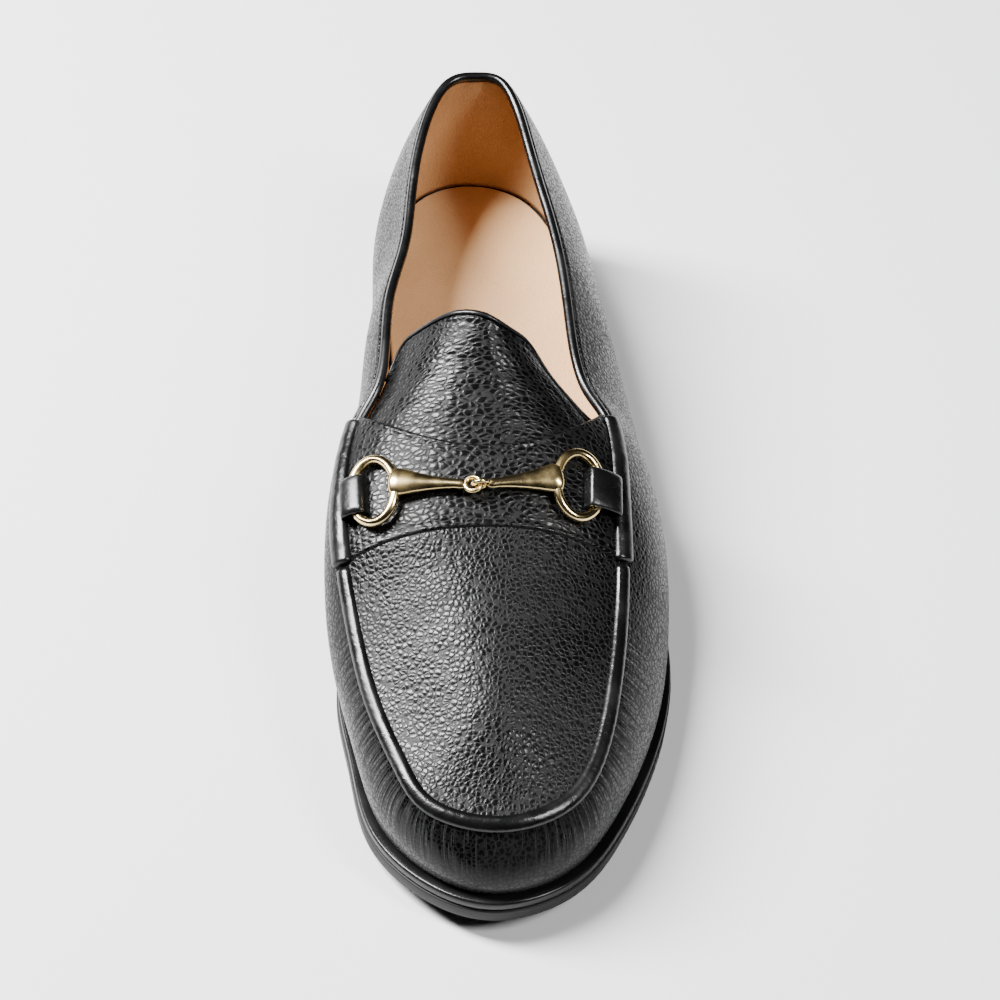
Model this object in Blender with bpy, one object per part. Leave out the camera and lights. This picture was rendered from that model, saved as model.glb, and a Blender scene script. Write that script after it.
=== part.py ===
import math
import bmesh
import bpy
import numpy as np

# A left bit loafer for a man's foot, empty, standing on its sole.
# The toe points to -Y, the heel to +Y, the outer (lateral) side to +X, the floor is z = 0.
mm = 0.001

# Sizes of the shoe
sole_length = 300 * mm
ball_width = 108 * mm
back_height = 86 * mm
instep_height = 101 * mm
heel_height = 20 * mm
toe_spring = 8 * mm

# Thicknesses
outsole_thick = 5 * mm
welt_thick = 3.5 * mm
insole_thick = 5 * mm
lift_thick = 6 * mm
wall = 2 * mm
tongue_thick = 2.2 * mm
strap_thick = 1.8 * mm
fit_gap = 0.3 * mm
tongue_gap = 0.5 * mm

# Trim
seam_bead_width = 5 * mm
seam_bead_height = 2.6 * mm
roll_width = 7 * mm
roll_height = 3.6 * mm
binding_width = 3.2 * mm
binding_height = 2.6 * mm
tongue_bead_width = 2.6 * mm
tongue_bead_height = 1.2 * mm
keeper_width = 12.4 * mm

# The bit
ring_across = 19 * mm
ring_along = 25 * mm
ring_wire = 3.1 * mm
eye_outer = 6.2 * mm
eye_wire = 1.5 * mm
bar_end_width = 10 * mm
bit_clearance = 0.3 * mm

# Lengthwise places, as shares of the sole's length from the heel's back
heel_breast = 0.25
strap_top_roll = 0.488
strap_foot_roll = 0.656
strap_top_centre = 0.559
strap_foot_centre = 0.647
throat_place = 0.615
spine_end = 0.82
fan_start = 0.66
ring_place = 0.596
bit_centre_place = 0.612

# Shapes of the walls and the trim
wall_fullness = 0.38
steepest_start = 2.7
heel_inset = 0.5 * mm
heel_taper = 1.5 * mm
sole_chamfer = 1.0 * mm
welt_inset = 0.4 * mm
welt_round = 0.9 * mm
collar_ease = 0.012
end_gap = 0.0025
strap_flare = 2.1
tongue_tuck = 0.022
tongue_side_tuck = 5 * mm
tongue_bead_lip = 0.6 * mm
ring_room_lateral = 6.0 * mm
ring_room_medial = 2.6 * mm
ring_lift = 0.8 * mm
ring_tip = 4 * mm
bit_lift = 3.8 * mm
bar_end_thick = 5.8 * mm
knuckle_length = 8.2 * mm
weld = 0.001 * mm

# Sections of the trim: across as a share of the width (outwards negative), height share
bead_profile = ((0.5, 0.35), (0.30, 0.86), (0.0, 1.0), (-0.30, 0.86), (-0.5, 0.35))
binding_profile = ((-0.5, 0.0), (0.5, 0.0), (0.5, 0.5), (0.28, 0.88), (0.0, 1.0),
                   (-0.28, 0.88), (-0.5, 0.5))
# Bars: share of the length from the ring to the eye, half width, half thickness
bar_profile = ((0.035, 0.95, 0.74), (0.12, 0.88, 0.70), (0.30, 0.66, 0.66), (0.55, 0.46, 0.60),
               (0.80, 0.38, 0.52), (0.95, 0.34, 0.46), (1.00, 0.14, 0.22))
# Keeper loop, its inner then its outer face: whether the reach starts past the ring's room,
# reach from the roll, rise off the strap
keeper_profile = ((0, 1.0 * mm, 0.0, 0.2 * mm, 0.0), (0, 1.0 * mm, 2.5 * mm, 0.2 * mm, 2.9 * mm),
                  (0, 1.9 * mm, 4.2 * mm, 1.4 * mm, 5.1 * mm), (1, 3.2 * mm, 4.1 * mm, 3.6 * mm, 5.1 * mm),
                  (1, 5.1 * mm, 2.7 * mm, 6.0 * mm, 3.3 * mm), (1, 5.4 * mm, 0.0, 6.3 * mm, 0.0))

# Segments
column_room = 0.3
tongue_bead_skip_columns = 2
side_columns = 48
band_rings = 7
patch_rings = 6
heel_segments = 16
tongue_steps_across = 20
tongue_steps = 9
strap_across = 20
strap_rows = 6
bar_sides = 12
knuckle_sides = 18
ring_segments = 30
eye_segments = 20
wire_sides = 8
keeper_rows = 4
height_samples = 201
bar_checks = 12
bar_check_from = 0.3

# Colours
leather_colour = (0.012, 0.012, 0.013)
gloss_colour = (0.010, 0.010, 0.011)
sole_colour = (0.020, 0.020, 0.021)
rubber_colour = (0.025, 0.025, 0.026)
lining_colour = (0.42, 0.22, 0.09)
gold_colour = (0.80, 0.66, 0.40)

# Outline of the sole: along is a share of the sole's length, lateral and medial are
# shares of the ball width to either side, the edges are how far the sole shows outside the upper.
outline_columns = ("along", "lateral", "medial", "lateral_edge", "medial_edge")
outline_rows = {
    "heel_back":    (0.000,  0.000,  0.000, 2.5 * mm, 2.5 * mm),
    "heel_corner":  (0.022,  0.180, -0.180, 2.5 * mm, 2.5 * mm),
    "heel_side":    (0.100,  0.312, -0.310, 2.5 * mm, 2.5 * mm),
    "heel_front":   (0.220,  0.354, -0.332, 2.5 * mm, 2.2 * mm),
    "waist":        (0.340,  0.408, -0.318, 2.8 * mm, 1.8 * mm),
    "collar_front": (0.450,  0.462, -0.338, 3.2 * mm, 2.0 * mm),
    "strap_corner": (0.515,  0.488, -0.354, 3.8 * mm, 2.4 * mm),
    "strap_front":  (0.600,  0.522, -0.398, 4.8 * mm, 3.2 * mm),
    "ball":         (0.695,  0.534, -0.468, 5.4 * mm, 4.2 * mm),
    "toe_side":     (0.805,  0.462, -0.438, 5.4 * mm, 4.8 * mm),
    "toe_corner":   (0.905,  0.332, -0.379, 5.2 * mm, 5.2 * mm),
    "toe_front":    (0.975,  0.173, -0.221, 5.0 * mm, 5.0 * mm),
    "toe_tip":      (1.000, -0.033, -0.033, 5.0 * mm, 5.0 * mm),
}

# The upper's top line: the collar round the back, then the apron seam round the toe.
# Heights are shares of the back height.
line_columns = ("along", "lateral", "medial", "lateral_height", "medial_height")
line_rows = {
    "heel_back":    (0.024,  0.000,  0.000, 1.003, 1.003),
    "heel_corner":  (0.038,  0.088, -0.098, 0.996, 0.994),
    "heel_side":    (0.127,  0.158, -0.194, 0.925, 0.916),
    "heel_front":   (0.240,  0.217, -0.237, 0.850, 0.826),
    "waist":        (0.340,  0.243, -0.296, 0.790, 0.808),
    "collar_front": (0.446,  0.281, -0.333, 0.735, 0.760),
    "strap_corner": (0.490,  0.342, -0.400, 0.706, 0.696),
    "strap_front":  (0.587,  0.358, -0.448, 0.658, 0.636),
    "ball":         (0.677,  0.352, -0.436, 0.562, 0.561),
    "toe_side":     (0.797,  0.307, -0.376, 0.490, 0.478),
    "toe_corner":   (0.883,  0.239, -0.292, 0.447, 0.446),
    "toe_front":    (0.931,  0.133, -0.203, 0.437, 0.434),
    "toe_tip":      (0.949, -0.032, -0.032, 0.435, 0.435),
}

# The wall's lean: out is how far it leans outwards where it leaves the sole, in is how far it
# leans inwards at the top line, crease is the extra bend to the apron; all in degrees.
lean_columns = ("lateral_out", "medial_out", "lateral_in", "medial_in", "crease")
lean_rows = {
    "heel_back":    (12, 12, 13, 13, 0),
    "heel_corner":  (15, 15, 27, 23, 0),
    "heel_side":    (20, 13, 28, 16, 0),
    "heel_front":   (32, 18, 39, 21, 0),
    "waist":        (35, 26, 44, 32, 0),
    "collar_front": (33, 25, 47, 36, 0),
    "strap_corner": (30, 20, 45, 35, 0),
    "strap_front":  (28, 17, 51, 38, 0),
    "ball":         (20, 18, 48, 44, 10),
    "toe_side":     (22, 20, 50, 48, 20),
    "toe_corner":   (22, 20, 50, 50, 26),
    "toe_front":    (20, 20, 50, 50, 28),
    "toe_tip":      (20, 20, 50, 50, 28),
}

# The ridge of the forefoot and instep: heights are shares of the instep height
spine_columns = ("along", "across", "height")
spine_rows = {
    "tongue_top":  (0.400, -0.022, 0.990),
    "instep":      (0.480, -0.026, 0.840),
    "strap":       (0.560, -0.030, 0.730),
    "strap_foot":  (0.650, -0.034, 0.638),
    "ball":        (0.730, -0.036, 0.572),
    "toe_box":     (0.820, -0.034, 0.500),
}

# The tongue's top edge: across runs from the medial edge (-1) over the ridge (0) to the lateral
tongue_columns = ("across", "along")
tongue_rows = {
    "medial_corner":    (-1.00, 0.466),
    "medial_side":      (-0.92, 0.426),
    "medial_top":       (-0.72, 0.406),
    "medial_shoulder":  (-0.45, 0.416),
    "top":              (-0.10, 0.430),
    "lateral_shoulder": (0.35, 0.435),
    "lateral_top":      (0.54, 0.440),
    "lateral_side":     (0.65, 0.462),
    "lateral_corner":   (0.76, 0.484),
    "lateral_end":      (1.00, 0.490),
}

# Height of the outsole's underside, as shares of the heel height (heel part)
# and of the toe spring (toe part); between ball and toe it lies flat on the floor
underside_columns = ("along", "heel_share", "spring_share")
underside_rows = {
    "seat_back":   (0.000, 1.000, 0.000),
    "seat":        (0.150, 0.985, 0.000),
    "breast":      (0.260, 0.900, 0.000),
    "shank":       (0.400, 0.480, 0.000),
    "shank_end":   (0.500, 0.150, 0.000),
    "tread_back":  (0.590, 0.000, 0.000),
    "tread_front": (0.750, 0.000, 0.000),
    "spring":      (0.860, 0.000, 0.260),
    "toe":         (1.000, 0.000, 1.000),
}


def column(columns, rows, name):
    return np.array([row[columns.index(name)] for row in rows.values()], float)


def steps_curve(places, values, at):
    # cubic through the values that never overshoots them and stays flat where they are flat
    widths = np.diff(places)
    slopes = np.diff(values) / widths
    ends = np.zeros(len(values))
    for i in range(1, len(values) - 1):
        if slopes[i - 1] * slopes[i] > 0:
            ends[i] = 2 * slopes[i - 1] * slopes[i] / (slopes[i - 1] + slopes[i])
    ends[0] = slopes[0]
    ends[-1] = slopes[-1]
    at = np.clip(at, places[0], places[-1])
    k = np.clip(np.searchsorted(places, at, side="right") - 1, 0, len(widths) - 1)
    t = (at - places[k]) / widths[k]
    rise = (2 * t - 3) * t * t
    return (values[k] * (1 + rise) - values[k + 1] * rise
            + widths[k] * (ends[k] * t * (1 - t) ** 2 - ends[k + 1] * t * t * (1 - t)))


def loop_curve(knots, values, at):
    # smooth closed curve through the values; knots run over one turn of length 1
    n = len(knots)
    after = (np.arange(n) + 1) % n
    before = np.arange(n) - 1
    width = np.mod(knots[after] - knots, 1.0)
    slope = (values[after] - values) / width
    matrix = np.zeros((n, n))
    matrix[np.arange(n), np.arange(n)] = 2 * (width[before] + width)
    matrix[np.arange(n), before] += width[before]
    matrix[np.arange(n), after] += width
    bend = np.linalg.solve(matrix, 6 * (slope - slope[before]))
    at = np.mod(at, 1.0)
    k = np.searchsorted(knots, at, side="right") - 1
    t = at - knots[k]
    w = width[k]
    return (values[k] + t * (slope[k] - w * (2 * bend[k] + bend[after[k]]) / 6)
            + t ** 2 * bend[k] / 2 + t ** 3 * (bend[after[k]] - bend[k]) / (6 * w))


def open_curve(places, values, at):
    # natural cubic through the values, carried on straight past both ends
    n = len(places)
    width = np.diff(places)
    slope = np.diff(values) / width
    matrix = np.eye(n)
    right = np.zeros(n)
    for i in range(1, n - 1):
        matrix[i, i - 1:i + 2] = (width[i - 1], 2 * (width[i - 1] + width[i]), width[i])
        right[i] = 6 * (slope[i] - slope[i - 1])
    bend = np.linalg.solve(matrix, right)
    inside = np.clip(at, places[0], places[-1])
    k = np.clip(np.searchsorted(places, inside, side="right") - 1, 0, n - 2)
    t = inside - places[k]
    w = width[k]
    first = slope[k] - w * (2 * bend[k] + bend[k + 1]) / 6
    value = values[k] + t * first + t ** 2 * bend[k] / 2 + t ** 3 * (bend[k + 1] - bend[k]) / (6 * w)
    tilt = first + t * bend[k] + t ** 2 * (bend[k + 1] - bend[k]) / (2 * w)
    return value + tilt * (at - inside), tilt


# The way round the shoe: 0 is the heel's back, 0.5 the toe's tip, up to there along the
# lateral side and from there back along the medial side.
def station_ways():
    along = column(outline_columns, outline_rows, "along") * sole_length
    across = (column(outline_columns, outline_rows, "lateral")
              - column(outline_columns, outline_rows, "medial")) * ball_width / 2
    steps = np.hypot(np.diff(along), np.diff(across))
    return np.concatenate([[0], np.cumsum(steps)]) / steps.sum()


ways = station_ways()
loop_knots = np.concatenate([ways / 2, 1 - ways[-2:0:-1] / 2])


def round_shoe(columns, rows, lateral, medial, way):
    outer = column(columns, rows, lateral)
    inner = column(columns, rows, medial)
    return loop_curve(loop_knots, np.concatenate([outer, inner[-2:0:-1]]), way)


def sole_plan(way, inset=0.0):
    # plan of the sole's edge moved inwards by inset; returns points and outward normals
    def at(places):
        y = -sole_length * round_shoe(outline_columns, outline_rows, "along", "along", places)
        x = ball_width * round_shoe(outline_columns, outline_rows, "lateral", "medial", places)
        return np.stack([x, y], -1)
    small = 1e-4
    tangent = at(way + small) - at(way - small)
    normal = np.stack([-tangent[..., 1], tangent[..., 0]], -1)
    normal = normal / np.linalg.norm(normal, axis=-1, keepdims=True)
    return at(way) - normal * np.asarray(inset)[..., None], normal


def edge_margin(way):
    return round_shoe(outline_columns, outline_rows, "lateral_edge", "medial_edge", way)


def underside(y):
    along = -y / sole_length
    places = column(underside_columns, underside_rows, "along")
    heel = steps_curve(places, column(underside_columns, underside_rows, "heel_share"), along)
    spring = steps_curve(places, column(underside_columns, underside_rows, "spring_share"), along)
    return heel_height * heel + toe_spring * spring


def welt_top(y):
    return underside(y) + outsole_thick + fit_gap + welt_thick


def feather(way):
    # where the upper meets the welt
    edge, normal = sole_plan(way)
    plan, _ = sole_plan(way, edge_margin(way))
    return np.concatenate([plan, (welt_top(edge[..., 1]) + fit_gap)[..., None]], -1), normal


def top_line(way):
    x = ball_width * round_shoe(line_columns, line_rows, "lateral", "medial", way)
    y = -sole_length * round_shoe(line_columns, line_rows, "along", "along", way)
    z = back_height * round_shoe(line_columns, line_rows, "lateral_height", "medial_height", way)
    return np.stack([x, y, z], -1)


def line_normal(way):
    small = 1e-4
    tangent = (top_line(way + small) - top_line(way - small))[..., :2]
    normal = np.stack([-tangent[..., 1], tangent[..., 0]], -1)
    return normal / np.linalg.norm(normal, axis=-1, keepdims=True)


def lean(way, lateral, medial):
    return np.radians(round_shoe(lean_columns, lean_rows, lateral, medial, way))


def along_of_line(way):
    return round_shoe(line_columns, line_rows, "along", "along", way)


dense_ways = np.linspace(0, 0.5, 2001)
dense_along = along_of_line(dense_ways)


def way_at(along, side):
    # the way whose top line lies that far along; side 1 is lateral, -1 medial
    lateral = np.interp(along, dense_along, dense_ways)
    return np.where(np.asarray(side) > 0, lateral, 1 - lateral)


def spine(along):
    places = column(spine_columns, spine_rows, "along")
    height, tilt = open_curve(places, column(spine_columns, spine_rows, "height"), along)
    across, drift = open_curve(places, column(spine_columns, spine_rows, "across"), along)
    point = np.stack([across * ball_width, -along * sole_length, height * instep_height], -1)
    return point, tilt * instep_height / sole_length


def spine_place(along):
    # columns run straight across as far as the fan, then gather towards the spine's end
    last = line_rows["toe_tip"][0]
    share = np.clip((along - fan_start) / (last - fan_start), 0, 1)
    gain = (last - fan_start) / (spine_end - fan_start)
    fan = fan_start + (spine_end - fan_start) * (gain * share + (1 - gain) * share ** 2)
    return np.where(along < fan_start, along, fan)


def band(way, q):
    # the wall from the welt (q 0) to the top line (q 1), one cubic arc at each place round
    low, low_normal = feather(way)
    high = top_line(way)
    high_normal = line_normal(way)
    out = lean(way, "lateral_out", "medial_out")
    inward = lean(way, "lateral_in", "medial_in")
    reach = np.linalg.norm(high - low, axis=-1, keepdims=True) * wall_fullness
    start = np.concatenate([low_normal * np.sin(out)[..., None], np.cos(out)[..., None]], -1)
    end = np.concatenate([high_normal * np.sin(inward)[..., None],
                          -np.cos(inward)[..., None]], -1)
    a, b, c, d = low, low + start * reach, high + end * reach, high
    t = np.asarray(q)[..., None]
    return a * (1 - t) ** 3 + 3 * b * t * (1 - t) ** 2 + 3 * c * t * t * (1 - t) + d * t ** 3


def patch(way, w):
    # the apron and instep from the top line (w 0) to the spine (w 1)
    low = top_line(way)
    along = along_of_line(way)
    ridge, tilt = spine(spine_place(along))
    length = np.linalg.norm((ridge - low)[..., :2], axis=-1)
    climb = ridge[..., 2] - low[..., 2]
    lean_in = lean(way, "lateral_in", "medial_in") + lean(way, "crease", "crease")
    start = np.minimum(length / np.tan(lean_in), steepest_start * climb)
    end = tilt * (low[..., 1] - ridge[..., 1])
    w = np.asarray(w, float)
    z = (low[..., 2] * (1 - w) ** 2 * (1 + 2 * w) + ridge[..., 2] * w * w * (3 - 2 * w)
         + start * w * (1 - w) ** 2 - end * w * w * (1 - w))
    plan = low[..., :2] * (1 - w)[..., None] + ridge[..., :2] * w[..., None]
    return np.concatenate([plan, z[..., None]], -1)


def skin(way, q):
    way, q = np.broadcast_arrays(np.asarray(way, float), np.asarray(q, float))
    low = band(way, np.clip(q, 0, 1))
    high = patch(way, np.clip(q - 1, 0, 1))
    return np.where((q > 1)[..., None], high, low)


def skin_normal(way, q):
    # outward normal; on the top line the two sides' normals are averaged
    way, q = np.broadcast_arrays(np.asarray(way, float), np.asarray(q, float))
    small = 1e-3

    def cross(lowest, highest):
        middle = np.clip(q, lowest + small, highest - small)
        across = skin(way, middle + small) - skin(way, middle - small)
        round_ = skin(way + small, middle) - skin(way - small, middle)
        found = np.cross(across, round_)
        return found / np.linalg.norm(found, axis=-1, keepdims=True)

    low = cross(0, 1)
    high = cross(1 + 1e-9, 2)
    share = np.clip((q - 0.98) / 0.04, 0, 1)[..., None]
    mixed = low * (1 - share) + high * share
    return mixed / np.linalg.norm(mixed, axis=-1, keepdims=True)


def raised(way, q, height):
    return skin(way, q) + skin_normal(way, q) * np.asarray(height)[..., None]


all_ways = np.arange(2 * side_columns) / (2 * side_columns)


def columns_between(first, last):
    # the upper's own columns between two ways, so that trim bends where the wall bends
    step = all_ways[1]
    inner = np.concatenate([all_ways - 1, all_ways])
    inner = inner[(inner > first + column_room * step) & (inner < last - column_room * step)]
    return np.concatenate([[first], inner, [last]])


# Meshes
def add_object(name, verts, faces, colour, roughness, metallic=0.0):
    mesh = bpy.data.meshes.new(name)
    mesh.from_pydata([tuple(v) for v in verts], [], [tuple(f) for f in faces])
    mesh.validate()
    mesh.update()
    material = bpy.data.materials.new(name)
    material.use_nodes = True
    shader = material.node_tree.nodes["Principled BSDF"]
    shader.inputs["Base Color"].default_value = (*colour, 1)
    shader.inputs["Roughness"].default_value = roughness
    shader.inputs["Metallic"].default_value = metallic
    mesh.materials.append(material)
    obj = bpy.data.objects.new(name, mesh)
    bpy.context.scene.collection.objects.link(obj)
    return obj


def sheet_faces(index, close_rows=False, close_columns=False):
    # quads over a grid of vertex numbers
    rows, columns = index.shape
    faces = []
    for i in range(rows if close_rows else rows - 1):
        for j in range(columns if close_columns else columns - 1):
            a, b = index[i, j], index[i, (j + 1) % columns]
            c, d = index[(i + 1) % rows, (j + 1) % columns], index[(i + 1) % rows, j]
            corners = [a, b, c, d]
            faces.append([v for k, v in enumerate(corners) if v != corners[k - 1]])
    return faces


def tube(sections, closed):
    # sections is stations x points x 3; each section is a closed polygon
    stations, points = sections.shape[:2]
    index = np.arange(stations * points).reshape(stations, points)
    faces = sheet_faces(index, close_rows=closed, close_columns=True)
    if not closed:
        faces.append(list(index[0])[::-1])
        faces.append(list(index[-1]))
    return sections.reshape(-1, 3), faces


def slab(top, bottom):
    # a closed plate between two grids of the same size
    rows, columns = top.shape[:2]
    upper = np.arange(rows * columns).reshape(rows, columns)
    lower = upper + rows * columns
    faces = sheet_faces(upper) + [f[::-1] for f in sheet_faces(lower)]
    rim = np.concatenate([upper[0, :-1], upper[:-1, -1], upper[-1, :0:-1], upper[:0:-1, 0]])
    for k, a in enumerate(rim):
        b = rim[(k + 1) % len(rim)]
        faces.append([b, a, a + rows * columns, b + rows * columns])
    return np.concatenate([top.reshape(-1, 3), bottom.reshape(-1, 3)]), faces


def stack(loops):
    # a plate through loops of points; each loop starts at the heel's back and runs round by
    # the lateral side, and the caps are strips straight across
    loops = np.array(loops)
    levels, count = loops.shape[:2]
    index = np.arange(levels * count).reshape(levels, count)
    faces = sheet_faces(index, close_columns=True)
    for ring in (index[0], index[-1]):
        for j in range(count // 2):
            corners = [ring[j], ring[j + 1], ring[count - j - 1], ring[(count - j) % count]]
            faces.append([v for k, v in enumerate(corners) if v != corners[k - 1]])
    return loops.reshape(-1, 3), faces


def finish(obj):
    # weld, face outwards, split into triangles
    work = bmesh.new()
    work.from_mesh(obj.data)
    bmesh.ops.remove_doubles(work, verts=work.verts, dist=weld)
    bmesh.ops.recalc_face_normals(work, faces=work.faces)
    if work.calc_volume(signed=True) < 0:
        bmesh.ops.reverse_faces(work, faces=work.faces)
    bmesh.ops.triangulate(work, faces=work.faces)
    work.to_mesh(obj.data)
    work.free()
    return obj


def with_height(plan, height):
    return np.concatenate([plan, np.asarray(height)[..., None]], -1)


def outline_way_at(along):
    return np.interp(along, round_shoe(outline_columns, outline_rows, "along", "along", dense_ways),
                     dense_ways)


# Sole
def heel_ways():
    lateral = np.linspace(0, outline_way_at(heel_breast), heel_segments + 1)
    return np.concatenate([lateral, 1 - lateral[:0:-1]])


def make_heel():
    way = heel_ways()
    edge, _ = sole_plan(way)
    under = underside(edge[:, 1]) - fit_gap
    low, _ = sole_plan(way, np.full(way.shape, heel_taper))
    high, _ = sole_plan(way, np.full(way.shape, heel_inset))
    flat = np.ones(len(way))
    lift = stack([with_height(low, 0 * flat), with_height(low, lift_thick * flat)])
    block = stack([with_height(low, (lift_thick + fit_gap) * flat), with_height(high, under)])
    finish(add_object("heel_top_lift", *lift, rubber_colour, 0.6))
    finish(add_object("heel_block", *block, sole_colour, 0.45))


def make_outsole():
    edge, _ = sole_plan(all_ways)
    bottom = underside(edge[:, 1])
    chamfered, _ = sole_plan(all_ways, np.full(all_ways.shape, sole_chamfer))
    loops = [with_height(chamfered, bottom), with_height(edge, bottom + sole_chamfer),
             with_height(edge, bottom + outsole_thick)]
    finish(add_object("outsole", *stack(loops), sole_colour, 0.45))


def make_welt():
    edge, _ = sole_plan(all_ways)
    low = underside(edge[:, 1]) + outsole_thick + fit_gap
    high = low + welt_thick
    margin = edge_margin(all_ways)
    outer, _ = sole_plan(all_ways, np.full(all_ways.shape, welt_inset))
    shoulder, _ = sole_plan(all_ways, np.full(all_ways.shape, welt_inset + welt_round))
    inner, _ = sole_plan(all_ways, margin + wall)
    sections = np.stack([with_height(outer, low), with_height(outer, high - welt_round),
                         with_height(shoulder, high), with_height(inner, high),
                         with_height(inner, low)], 1)
    finish(add_object("welt", *tube(sections, True), sole_colour, 0.3))


def make_insole():
    edge, _ = sole_plan(all_ways)
    low = underside(edge[:, 1]) + outsole_thick + fit_gap
    plan, _ = sole_plan(all_ways, edge_margin(all_ways) + wall + fit_gap)
    loops = [with_height(plan, low), with_height(plan, low + insole_thick)]
    finish(add_object("insole", *stack(loops), lining_colour, 0.55))


# Upper
def rim_share(way):
    # how far up the wall ends: at the seam line in front, under the collar binding behind
    length = np.linalg.norm(skin(way, 1.0) - skin(way, 0.95), axis=-1) / 0.05
    behind = np.clip((strap_top_roll - along_of_line(way)) / collar_ease + 1, 0, 1)
    return 1 - behind * (binding_height + fit_gap) / length


def make_upper():
    columns = 2 * side_columns
    throat_way = way_at(throat_place, 1)
    first = int(round(throat_way * columns))
    ways_used = np.arange(columns) / columns
    rise = np.linspace(0, 1, band_rings + 1)
    top = rim_share(ways_used)
    verts = []
    inner = []
    for k, share in enumerate(rise):
        q = share * top
        outside = skin(ways_used, q)
        inside = raised(ways_used, q, np.full(columns, -wall))
        if k == 0:
            plan, _ = sole_plan(ways_used, edge_margin(ways_used) + wall)
            inside = with_height(plan, outside[:, 2])
        verts.append(outside)
        inner.append(inside)
    index = np.arange((band_rings + 1) * columns).reshape(band_rings + 1, columns)
    faces = sheet_faces(index, close_columns=True)
    count = index.size
    # apron: columns from the throat round the toe, gathered on the spine
    front = np.arange(first, columns - first + 1)
    shares = np.linspace(0, 1, patch_rings + 1)
    grid = np.zeros((patch_rings + 1, len(front)), int)
    grid[0] = index[-1, front]
    for k in range(1, patch_rings):
        q = np.full(len(front), 1 + shares[k])
        verts.append(skin(front / columns, q))
        inner.append(raised(front / columns, q, np.full(len(front), -wall)))
        grid[k] = count + np.arange(len(front))
        count += len(front)
    half = len(front) // 2 + 1
    spine_ways = front[:half] / columns
    verts.append(skin(spine_ways, np.full(half, 2.0)))
    inner.append(raised(spine_ways, np.full(half, 2.0), np.full(half, -wall)))
    grid[-1, :half] = count + np.arange(half)
    grid[-1, half:] = grid[-1, :half - 1][::-1]
    count += half
    faces += sheet_faces(grid)
    outside = np.concatenate(verts)
    inside = np.concatenate(inner)
    faces += [[v + count for v in face[::-1]] for face in faces]
    bottom = index[0]
    back = np.concatenate([index[-1, columns - first:], index[-1, :first + 1]])
    throat = np.concatenate([grid[1:, 0], grid[-2:0:-1, -1]])
    for ring in (bottom, np.concatenate([back, throat])):
        for k, a in enumerate(ring):
            b = ring[(k + 1) % len(ring)]
            faces.append([a, b, b + count, a + count])
    upper = add_object("upper", np.concatenate([outside, inside]), faces, leather_colour, 0.35)
    finish(upper)


# Raised trim along the top line
def line_frame(way):
    small = 1e-3
    point = skin(way, 1.0)
    normal = skin_normal(way, np.full(np.shape(way), 1.0))
    along = skin(way + small, 1.0) - skin(way - small, 1.0)
    along = along / np.linalg.norm(along, axis=-1, keepdims=True)
    inward = np.cross(along, normal)
    inward = inward / np.linalg.norm(inward, axis=-1, keepdims=True)
    return point, normal, inward


def q_away(way, distance):
    # q at a distance across the surface from the top line, positive onto the apron
    step = 0.02
    up = np.linalg.norm(skin(way, 1 + step) - skin(way, 1 + 1e-9), axis=-1) / step
    down = np.linalg.norm(skin(way, 1.0) - skin(way, 1 - step), axis=-1) / step
    return 1 + np.where(distance > 0, distance / up, distance / down)


def line_bead(way, width, height):
    # a rounded bead that sits on the top line, its underside on the surface
    point, normal, inward = line_frame(way)
    points = []
    for side in (-0.5, 0.0, 0.5):
        q = q_away(way, side * width)
        points.append(raised(way, q, np.full(way.shape, fit_gap)))
    for side, share in bead_profile:
        points.append(point + inward * side * width + normal * (fit_gap + share * height))
    return tube(np.stack(points, 1), False)


def make_seam_bead():
    start = way_at(strap_foot_roll + end_gap, 1)
    way = columns_between(start, 1 - start)
    bead = line_bead(way, seam_bead_width, seam_bead_height)
    finish(add_object("apron_piping", *bead, gloss_colour, 0.25))


def make_rolls():
    for name, side in (("side_roll_lateral", 1), ("side_roll_medial", -1)):
        ends = way_at(np.array([strap_top_roll, strap_foot_roll]), side)
        way = columns_between(ends.min(), ends.max())
        roll = line_bead(way, roll_width, roll_height)
        finish(add_object(name, *roll, gloss_colour, 0.25))


def make_collar_binding():
    start = way_at(strap_top_roll - end_gap, 1)
    way = columns_between(-start, start)
    share = rim_share(way)
    point = skin(way, share)
    small = 1e-3
    up = skin(way, share) - skin(way, share - 0.02)
    up = up / np.linalg.norm(up, axis=-1, keepdims=True)
    along = skin(way + small, share) - skin(way - small, share)
    along = along / np.linalg.norm(along, axis=-1, keepdims=True)
    out = np.cross(along, up)
    out = out / np.linalg.norm(out, axis=-1, keepdims=True)
    facing = skin_normal(way, share)
    out = out * np.sign((out * facing).sum(-1, keepdims=True))
    middle = point - out * (wall - binding_width / 2)
    points = []
    for side, rise in binding_profile:
        points.append(middle + out * side * binding_width + up * (fit_gap + rise * binding_height))
    binding = tube(np.stack(points, 1), False)
    finish(add_object("collar_binding", *binding, gloss_colour, 0.3))


# Tongue and strap, laid over the same surface
def over_grid(across, top, foot, rows, edge_q):
    # grid of (way, q): columns run from the medial edge over the spine to the lateral edge
    t = np.linspace(-1, 1, across + 1)
    share = np.linspace(0, 1, rows + 1)
    along = top(t)[None] + (foot(t) - top(t))[None] * share[:, None]
    side = np.where(t >= 0, 1, -1)[None] * np.ones_like(along)
    way = way_at(along, side)
    start = edge_q(way)
    q = 2 - np.abs(t)[None] * (2 - start)
    return way, q


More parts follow.
